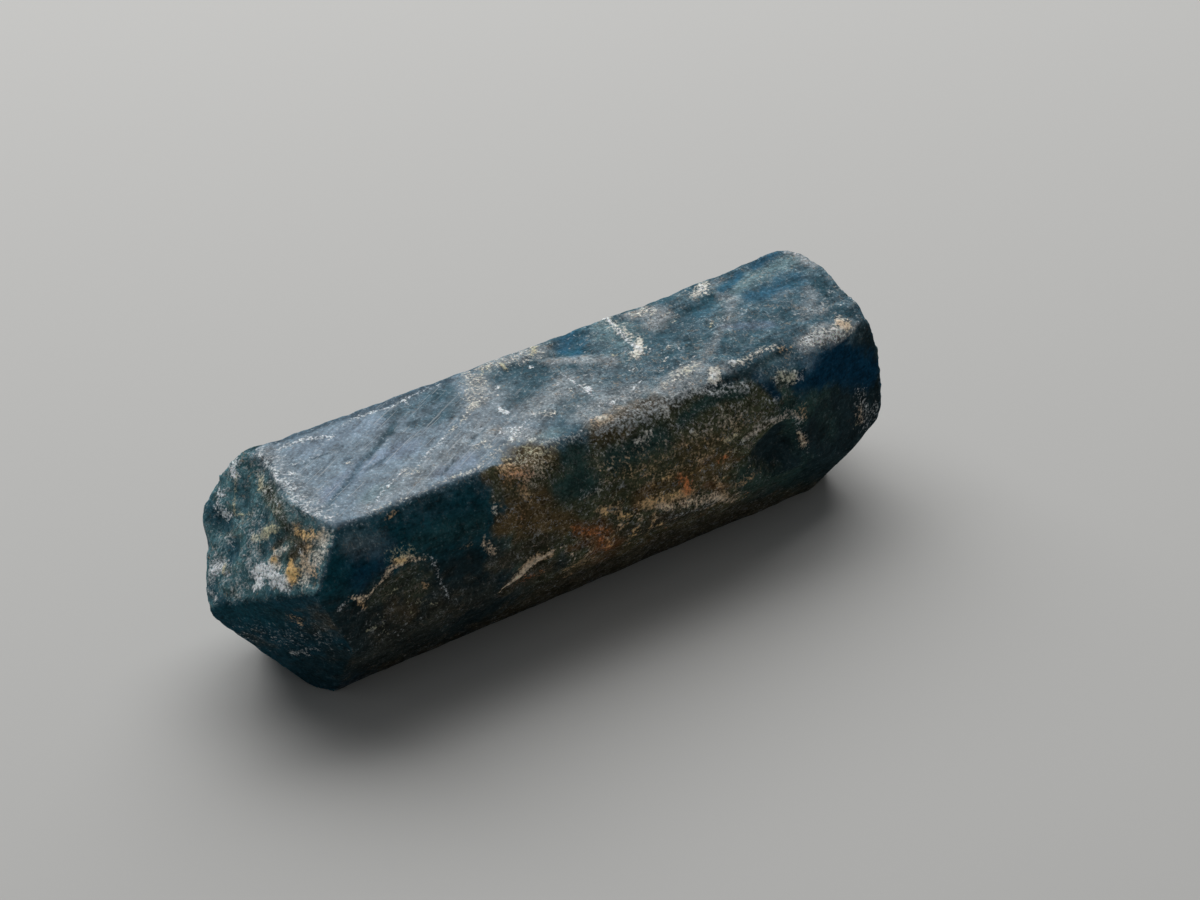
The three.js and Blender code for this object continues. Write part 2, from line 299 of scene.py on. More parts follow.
MARKS["pyramid"] = [
    ("teal", 0.3, 1, (0, -2.5, 6)),
    ("pool", 0.7, 0.9, (-3.6, -2.8, 0.3), (-2.6, -3, 0.3), (-1.9, -2.9, 0.25)),
    ("pool", 0.7, 0.9, (-1.1, -3.3, 0.35), (-0.8, -3.6, 0.25)),
    ("pool", 0.8, 0.5, (-2.4, -1.5, 0.3), (-1.8, -1.9, 0.35)),
    ("pool", 0.8, 0.6, (-0.3, -1.5, 0.25), (-0.5, -2.3, 0.25)),
    ("pool", 0.8, 0.6, (0.6, -2.4, 0.25), (0.9, -2, 0.2)),
    ("pool", 0.8, 0.8, (-1, -5, 0.3), (0.6, -5.2, 0.35), (2.2, -4.2, 0.3), (3.4, -3.2, 0.3)),
    ("cobalt", 0.8, 0.85, (0.2, -5.1, 0.25), (1.2, -4.45, 0.3), (2.2, -3.7, 0.3), (3.2, -3, 0.25)),
    ("moss", 0.7, 0.8, (-0.9, -0.8, 0.35), (0.2, -0.9, 0.3), (0.9, -1.1, 0.3)),
    ("moss", 0.9, 0.5, (1.2, -1.5, 0.35), (2.1, -1.4, 0.4), (1.9, -2.1, 0.35)),
    ("umber", 0.9, 0.5, (1.4, -1.1, 0.3), (2.6, -1.1, 0.45), (2.4, -1.9, 0.3)),
    ("loam", 0.6, 1.1, (2.2, -1.35, 0.28), (2.05, -1.8, 0.18)),
    ("loam", 0.7, 0.7, (1, -2.1, 0.2), (1.3, -1.5, 0.15)),
    ("chalk", 0.8, 0.45, (-0.9, -2, 0.4), (0, -2.6, 0.6), (0.3, -3.3, 0.4)),
    ("chalk", 0.8, 0.4, (-1.5, -3.2, 0.25), (-1.9, -3.8, 0.25), (0.3, -4.3, 0.5)),
    ("chalk", 0.8, 0.35, (-2.6, -0.5, 0.4), (0.8, -0.8, 0.4)),
    ("pearl", 0.8, 0.75, (-3.4, -0.6, 0.14), (-3.2, -1.15, 0.24), (-2.8, -1.3, 0.15)),
    ("pearl", 0.7, 0.55, (-3.3, -2.2, 0.2), (-2.8, -2.6, 0.28), (-2.2, -2.6, 0.2)),
    ("straw", 0.5, 0.5, (-2.9, -1.2, 0.05), (-2.4, -2, 0.06), (-1.9, -2.4, 0.07), (-1.2, -1.9, 0.05)),
    ("straw", 0.7, 0.6, (-1.7, -0.75, 0.16), (-1.45, -1, 0.15)),
    ("straw", 0.8, 0.75, (0.2, -1.85, 0.24), (0.75, -1.5, 0.16)),
    ("straw", 0.7, 0.5, (-0.3, -2.4, 0.15), (0.1, -2.2, 0.12)),
    ("tan", 0.9, 0.4, (1.5, -1.05, 0.16), (2.2, -0.8, 0.2), (2.7, -0.5, 0.2)),
    ("ochre", 0.9, 0.42, (1.6, -1, 0.12), (2, -0.9, 0.14), (2.5, -0.55, 0.16)),
    ("cream", 0.9, 0.65, (2.8, -0.6, 0.3), (3.1, -1.1, 0.34), (2.9, -1.7, 0.34), (3.1, -2.2, 0.3)),
    ("tan", 0.9, 0.5, (2.5, -1.2, 0.18), (2.7, -1.8, 0.2), (3.3, -1.7, 0.2)),
    ("cream", 0.6, 0.7, (1.6, -1.7, 0.12), (1.2, -2.5, 0.15), (1.7, -2.6, 0.15)),
    ("pearl", 0.5, 0.9, (0.65, -3.1, 0.2), (1.2, -2.95, 0.28), (1.8, -2.95, 0.32), (2.4, -2.8, 0.26)),
    ("pearl", 0.5, 0.85, (0.7, -3.4, 0.2), (1.2, -3.5, 0.25), (1, -3.8, 0.12)),
    ("ochre", 0.7, 1, (2.1, -2.1, 0.12), (2.5, -2.3, 0.24), (2.65, -2.45, 0.16)),
    ("ochre", 0.5, 0.9, (1.25, -2.45, 0.1), (1.4, -2.35, 0.1)),
    ("pearl", 0.9, 0.68, (-1.6, -4.3, 0.2), (-1.1, -4.15, 0.25), (-1.35, -4.5, 0.24)),
    ("straw", 0.4, 0.8, (-0.9, -4, 0.1), (-0.75, -4.2, 0.08)),
    ("chalk", 0.7, 0.5, (-1.4, -4.9, 0.2), (-0.4, -5.2, 0.2)),
]
MARKS["front"] = [
    ("blue", 0.4, 1, (-13, 5, 3.4), (-6, 5, 3.4)),
    ("ink", 0.4, 0.9, (-13, 3.2, 2.3), (-10, 3.2, 2.5), (-6, 3, 2.5)),
    ("ink", 0.9, 0.45, (-12.5, 5.4, 0.9), (-5.4, 5.4, 1)),
    ("loam", 0.9, 0.5, (-12, 3, 1.6), (-8, 2.8, 1.6)),
    ("moss", 0.3, 1, (-2.2, 5, 2.7), (7.4, 5, 2.8)),
    ("spruce", 0.4, 1, (9.6, 6, 1.8), (11, 4, 3)),
    ("ink", 0.8, 0.7, (-11.4, 4.2, 0.9), (-10.8, 3, 0.6)),
    ("loam", 0.6, 1, (-10.2, 4.7, 0.9), (-9.2, 4.9, 1.2), (-8.4, 4.2, 1), (-9.3, 3.2, 0.9)),
    ("moss", 0.8, 0.5, (-9.9, 5.2, 0.4), (-8.6, 5.7, 0.5), (-8.3, 4.6, 0.5)),
    ("umber", 0.9, 0.4, (-9.3, 4.3, 0.4), (-8.6, 3.9, 0.4)),
    ("navy", 0.8, 0.5, (-10.6, 6.3, 0.4), (-9.8, 6.6, 0.3)),
    ("ink", 0.45, 1, (-6.9, 5.2, 0.4), (-6.2, 4.9, 0.65), (-5.8, 4, 0.7), (-6, 3, 0.7)),
    ("loam", 0.9, 0.4, (-7, 3.4, 0.9), (-5.2, 2.9, 0.9)),
    ("umber", 0.6, 0.95, (-4.7, 6.3, 0.4), (-3.8, 6.2, 0.8), (-3, 5.8, 0.8), (-2, 5.1, 0.5)),
    ("loam", 0.8, 0.8, (-4.9, 4.6, 0.4), (-3.6, 4.7, 0.4), (-2.4, 4.6, 0.3)),
    ("loam", 0.6, 0.9, (-4.3, 3, 0.5), (-3.2, 3.2, 0.6), (-2.4, 3.1, 0.5)),
    ("spruce", 0.7, 0.9, (-1.9, 6.7, 0.6), (-0.9, 6.4, 0.6)),
    ("ink", 0.7, 0.7, (-2.1, 3.7, 0.2), (-2, 3, 0.25)),
    ("russet", 0.7, 0.9, (-1.3, 4.6, 0.3), (-0.5, 4.1, 0.5), (-0.2, 3.4, 0.6), (0.4, 3, 0.5)),
    ("umber", 0.8, 0.8, (1.4, 4.9, 0.4), (3, 4.9, 0.5), (4.6, 4.8, 0.5), (5.6, 5.1, 0.4)),
    ("umber", 0.8, 0.5, (3.6, 6.2, 0.5), (4.9, 6, 0.5)),
    ("spruce", 0.8, 0.7, (0.6, 6.9, 0.4), (2.6, 6.9, 0.4)),
    ("loam", 0.7, 0.85, (0.8, 3.6, 0.3), (1.5, 3.3, 0.4), (3, 3.1, 0.45), (4.6, 2.8, 0.4)),
    ("spruce", 0.7, 0.8, (6.4, 3.9, 0.5), (7.4, 3, 0.7), (9.5, 2.8, 0.6)),
    ("ink", 0.6, 0.99, (8.1, 5.3, 0.45), (7.6, 4.6, 0.75), (8.2, 4.1, 0.7), (8.8, 3.6, 0.5)),
    ("ink", 0.6, 0.9, (10.3, 5.2, 0.5), (10.6, 4, 0.7), (10.4, 3, 0.6)),
    # The flake's cream edge, with its yellow stain, and pale cracks beside it.
    ("bone", 0.5, 0.59, (-11.05, 5.75, 0.12), (-10.5, 5.45, 0.14), (-10.1, 5.6, 0.08),
     (-9.6, 6, 0.12), (-9.2, 6.4, 0.2), (-8.6, 6.4, 0.14), (-8.05, 6.2, 0.09)),
    ("straw", 0.8, 0.34, (-9.2, 6.7, 0.25), (-8.5, 6.7, 0.2)),
    ("tan", 0.6, 0.51, (-10.8, 5.4, 0.12), (-10.5, 5, 0.1)),
    ("ochre", 0.6, 0.68, (-9.1, 6.5, 0.1), (-8.8, 6.4, 0.09)),
    ("pearl", 0.5, 0.42, (-7.85, 6.4, 0.05), (-7.6, 5.7, 0.07), (-7.35, 5, 0.05), (-7.2, 4.4, 0.06),
     (-7, 3.9, 0.04)),
    ("tan", 0.6, 0.51, (-8.05, 5, 0.1), (-7.9, 4.8, 0.12)),
    ("straw", 0.6, 0.34, (-9.8, 4.3, 0.05), (-9.65, 3.4, 0.06), (-9.35, 2.7, 0.05)),
    ("straw", 0.7, 0.34, (-8.75, 4.3, 0.08), (-8.4, 3.5, 0.06)),
    ("chalk", 0.7, 0.34, (-10.3, 4.2, 0.05), (-10.1, 3.6, 0.07)),
    ("rust", 0.6, 0.47, (-11.8, 3.65, 0.08), (-11.4, 3.45, 0.13), (-11.1, 3.25, 0.1)),
    ("bone", 0.8, 0.6, (-5.5, 6, 0.08), (-5.25, 5.45, 0.2), (-5.05, 5.1, 0.08)),
    ("tan", 0.8, 0.3, (-6.4, 5.9, 0.1), (-6, 5.9, 0.08)),
    # The brown cloud, and the crack beneath it.
    ("tan", 0.9, 0.2, (-4.6, 6.6, 0.3), (-3.6, 6.4, 0.3)),
    ("rust", 0.9, 0.1, (-3.8, 6.3, 0.3), (-3.2, 5.9, 0.16)),
    ("tan", 0.7, 0.6, (-3.9, 3.85, 0.15), (-3.1, 4.05, 0.22), (-2.6, 4, 0.15)),
    ("bone", 0.5, 0.95, (-5, 2.85, 0.04), (-4.4, 3.2, 0.05), (-4, 3.46, 0.06), (-3.2, 3.95, 0.06),
     (-2.6, 4.08, 0.06), (-2, 4.1, 0.04)),
    ("bone", 0.9, 0.9, (-4.1, 3.5, 0.1), (-3.6, 3.75, 0.22), (-3.1, 4, 0.14)),
    ("rust", 0.8, 0.26, (-3.7, 3.1, 0.25), (-2.8, 3, 0.2)),
    ("straw", 0.6, 0.42, (-2.7, 3.3, 0.05), (-2.6, 2.7, 0.07)),
    ("bone", 0.5, 0.51, (-1.95, 3.85, 0.05), (-1.6, 3.5, 0.06), (-1.5, 3, 0.04)),
    # Rust in strands, then the long tan and cream ridge.
    ("rust", 0.7, 0.42, (-1.7, 4.8, 0.1), (-1.1, 4.5, 0.16), (-0.5, 4.2, 0.2), (0, 3.9, 0.15)),
    ("rust", 0.7, 0.42, (-0.5, 4, 0.12), (-0.3, 3.4, 0.16), (0.2, 2.9, 0.16)),
    ("tan", 0.6, 0.47, (-1.2, 4.3, 0.05), (-0.8, 3.8, 0.07), (-0.95, 3.2, 0.05), (-1.3, 2.7, 0.12)),
    ("tan", 0.6, 0.42, (-0.35, 4.3, 0.05), (-0.1, 3.6, 0.05), (0.3, 3.2, 0.05)),
    ("bone", 0.6, 0.51, (-1, 3.2, 0.09), (-0.75, 3.4, 0.07)),
    ("ochre", 0.6, 0.64, (-0.2, 5.2, 0.1), (-0.1, 4.8, 0.12)),
    ("ochre", 0.6, 0.59, (0.55, 4.4, 0.1), (0.95, 4.25, 0.1)),
    ("tan", 0.6, 0.42, (0.4, 5, 0.1), (0.8, 5.1, 0.1)),
    ("bone", 0.7, 0.42, (1.2, 4.3, 0.12), (1.4, 4, 0.12)),
    ("tan", 0.8, 0.7, (1.4, 4.6, 0.16), (2, 4.4, 0.25), (2.7, 4.2, 0.28), (3.9, 4.2, 0.25)),
    ("tan", 0.8, 0.55, (-0.4, 5.1, 0.2), (0.1, 4.95, 0.2), (0.5, 4.5, 0.16)),
    ("ochre", 0.8, 0.3, (1.6, 4.6, 0.2), (2.6, 4.4, 0.2), (3.1, 4.4, 0.15)),
    ("bone", 0.8, 0.65, (2.2, 4.15, 0.1), (2.7, 3.85, 0.18), (3.4, 3.8, 0.18), (4.3, 3.6, 0.24),
     (5, 3.45, 0.2), (5.4, 3.2, 0.16)),
    ("bone", 0.6, 0.85, (5.2, 3.4, 0.12), (5.5, 3.15, 0.18), (5.65, 2.8, 0.12)),
    ("tan", 0.7, 0.51, (4.9, 4.5, 0.1), (5.1, 4.1, 0.12), (5.6, 3.2, 0.16)),
    ("tan", 0.8, 0.42, (2.05, 3.8, 0.1), (2.1, 3.2, 0.12), (2, 2.7, 0.12)),
    ("chalk", 0.8, 0.34, (3.1, 3.3, 0.16), (4.4, 3.1, 0.2), (5, 3.1, 0.2)),
    ("rust", 0.9, 0.75, (3.25, 5.2, 0.14), (3.5, 4.8, 0.24), (3.7, 4.35, 0.2)),
    ("rust", 0.8, 0.45, (5.1, 5.1, 0.14), (5.5, 5.15, 0.12)),
    ("straw", 0.6, 0.51, (5.9, 5.3, 0.1), (6.1, 5.2, 0.08)),
    ("straw", 0.7, 0.42, (4.1, 6.75, 0.14), (4.3, 6.6, 0.1)),
    ("straw", 0.8, 0.3, (5.5, 7.1, 0.14), (6, 6, 0.1)),
    ("tan", 0.8, 0.2, (1.2, 5.6, 0.3), (2.8, 5.5, 0.3), (4.9, 5.4, 0.3)),
    ("chalk", 0.8, 0.26, (-1.2, 6.2, 0.2), (-0.3, 6.1, 0.25), (0.6, 5.8, 0.2)),
    ("tan", 0.8, 0.42, (6.1, 3.6, 0.16), (6.6, 3.7, 0.14), (7.2, 3.85, 0.1)),
    # The worn rim of the deep hollow.
    ("chalk", 0.95, 0.42, (6.3, 5.6, 0.2), (6.9, 5.85, 0.24), (7.4, 6.1, 0.28), (8.1, 6, 0.22),
     (8.6, 6, 0.2), (8.95, 5.6, 0.18), (9.2, 5, 0.15), (9.35, 4.3, 0.14), (9.55, 3.8, 0.1)),
    ("bone", 0.95, 0.3, (6.5, 5.7, 0.2), (7.4, 6, 0.2), (8.6, 5.9, 0.2)),
    ("tan", 0.8, 0.38, (9, 5.9, 0.25), (9.4, 5.5, 0.2)),
    ("bone", 0.8, 1.1, (9.1, 4.75, 0.1), (9.35, 4.25, 0.2)),
]
MARKS["shoulder"] = [
    ("ash", 0.9, 0.25, (-10.5, 1.1, 0.4), (-9.6, 0.8, 0.4)),
    ("ink", 0.9, 0.4, (-7.6, 1.5, 0.25), (-6.8, 1.4, 0.25)),
    ("spruce", 0.9, 0.4, (-8, 0.4, 0.5), (-5.6, 0.2, 0.5)),
    ("navy", 0.8, 0.4, (-10.6, 0.3, 0.5), (-9.4, 0.6, 0.4)),
    ("tan", 0.7, 0.42, (-8.95, 1.6, 0.1), (-8.55, 1.7, 0.08)),
    ("umber", 0.5, 0.9, (-4.5, 1.6, 0.45), (-3.8, 1.1, 0.8), (-3.2, 0.4, 0.8)),
    ("moss", 0.7, 0.8, (-4.45, 1.7, 0.3), (-4.5, 0.9, 0.25)),
    ("moss", 0.7, 0.8, (-2.6, 1.5, 0.35), (-2.4, 0.8, 0.3)),
    ("spruce", 0.7, 0.9, (-1.8, 1.2, 0.35), (-0.9, 1.3, 0.4), (-0.9, 0.6, 0.3)),
    ("spruce", 0.7, 0.9, (-2, 0.4, 0.4), (-1, 0.2, 0.4)),
    ("moss", 0.4, 0.9, (0.3, 1.3, 0.6), (4, 1.2, 0.8), (7, 0.6, 0.8)),
    ("umber", 0.8, 0.5, (0.2, 1.4, 0.3), (1.2, 1.3, 0.3)),
    ("spruce", 0.6, 0.9, (0.4, 0.6, 0.4), (2.6, 0.7, 0.4)),
    ("spruce", 0.6, 0.9, (3.6, 0.9, 0.25), (4.8, 1.2, 0.25), (6, 1.3, 0.25), (6.6, 1, 0.2)),
    ("ink", 0.6, 0.8, (5.2, 1.75, 0.16), (6.3, 1.8, 0.2), (7.2, 1.8, 0.25)),
    ("navy", 0.5, 0.9, (7.4, 1.4, 0.22), (7.8, 0.9, 0.28), (8, 0.5, 0.2)),
    ("spruce", 0.7, 0.8, (7.9, 1.8, 0.25), (8.8, 1.9, 0.25)),
    ("navy", 0.5, 1, (9.2, 0.3, 0.5), (10, 0.7, 0.7), (11.3, 0.8, 0.7), (12.3, 0.5, 0.6)),
    ("spruce", 0.8, 0.6, (8.7, 0, 0.4), (9.6, -0.1, 0.4)),
    ("tan", 0.7, 0.55, (-4, 1.9, 0.25), (-3.7, 1.2, 0.4), (-3.5, 0.6, 0.3)),
    ("rust", 0.8, 0.3, (-3.7, 1.9, 0.25), (-4, 1.3, 0.2), (-3.6, 0.9, 0.2)),
    ("cream", 0.8, 0.51, (-3.2, 1.8, 0.3), (-2.7, 1.6, 0.35), (-3, 1, 0.3)),
    ("straw", 0.8, 0.34, (-2.5, 1.8, 0.2), (-2.6, 1.3, 0.2)),
    ("cream", 0.6, 0.47, (-4.75, 0.8, 0.06), (-4.88, 0.4, 0.1), (-4.85, 0, 0.07)),
    ("chalk", 0.9, 0.16, (0.2, 1.2, 0.5), (3, 0.9, 0.6), (6.6, 0.7, 0.5)),
    ("tan", 0.9, 0.2, (0.2, 0.2, 0.5), (3, -0.2, 0.6), (6.4, 0, 0.5)),
    ("chalk", 0.8, 0.34, (-1.4, 1.85, 0.15), (0, 1.8, 0.2)),
    ("chalk", 0.9, 0.4, (0.4, 1.8, 0.25), (1.4, 1.65, 0.28), (2.2, 1.65, 0.28), (3.2, 1.8, 0.22)),
    ("chalk", 0.9, 0.42, (3.2, 1.85, 0.2), (4.2, 1.9, 0.22), (5.2, 1.65, 0.18)),
    ("cream", 0.8, 0.38, (1.6, 0.9, 0.16), (2.2, 0.9, 0.16)),
    ("cream", 0.8, 0.42, (3.2, 1.9, 0.15), (3.1, 1.4, 0.15)),
    ("chalk", 0.9, 0.5, (5.4, 1.45, 0.15), (6.2, 1.45, 0.2), (6.8, 1.2, 0.18)),
    ("azure", 0.9, 0.8, (9.7, 1.15, 0.35), (10.4, 0.9, 0.35)),
    ("ash", 0.9, 0.25, (9.8, 1.2, 0.25), (10.3, 1, 0.2)),
    ("pearl", 0.9, 0.42, (8.2, 1.2, 0.18), (8.7, 1.05, 0.25), (9.3, 0.85, 0.16)),
    ("straw", 0.8, 0.55, (8.4, 1.15, 0.2), (8.9, 0.9, 0.18)),
    ("chalk", 0.8, 0.34, (7.2, 0.4, 0.16), (8.2, 0.3, 0.16)),
]
MARKS["split"] = [
    ("ink", 0.3, 1, (-2.2, 0, 0.9), (0.5, -1, 3.2), (2, 1, 2.5)),
    ("navy", 0.5, 1, (-1.6, 2.5, 0.6), (-0.5, 2.3, 0.8), (0.6, 1.6, 0.8), (1.4, 0.9, 0.6)),
    ("spruce", 0.8, 0.5, (-1.6, 0.6, 0.4), (-1.2, -0.4, 0.5)),
    ("chalk", 0.95, 0.35, (0.7, 0.4, 0.3), (0.9, -0.4, 0.35), (1.1, -1.3, 0.35)),
    ("tan", 0.8, 0.35, (0.65, -0.4, 0.2), (0.8, -0.9, 0.2)),
    ("straw", 0.8, 0.3, (0.45, -1, 0.15), (0.3, -1.1, 0.1)),
    ("chalk", 0.8, 0.3, (1.7, -0.8, 0.4), (2.2, -1.2, 0.4)),
]
MARKS["end"] = [
    ("navy", 0.8, 0.8, (-1.6, 5.4, 1.2), (0.6, 5.8, 1.2)),
    ("pool", 0.8, 0.8, (1.6, 3, 1.2), (2.6, 4.4, 0.8)),
    ("umber", 0.8, 0.6, (-1.2, 2, 1), (0.4, 1.2, 0.8)),
    ("ash", 0.8, 0.4, (1, 6.8, 0.5), (-0.8, 7.2, 0.4)),
    ("chalk", 0.8, 0.4, (-2.6, 4, 0.4), (-2.2, 5.6, 0.3), (-0.8, 6.9, 0.3)),
    ("cream", 0.7, 0.5, (0.6, 4.6, 0.2), (1, 3.6, 0.2), (0.6, 2.8, 0.15)),
    ("tan", 0.8, 0.5, (-1.4, 2.6, 0.3), (-0.4, 2, 0.3)),
    ("rust", 0.7, 0.5, (-0.8, 1.6, 0.2), (-0.2, 1.4, 0.16)),
]
MARKS["top ground"] = [
    ("silk", 0.3, 1, (-11, 0, 4), (-4.6, 0, 4)),
    ("dusk", 0.4, 1, (1.6, 0.3, 3.4), (14, 0, 4)),
]
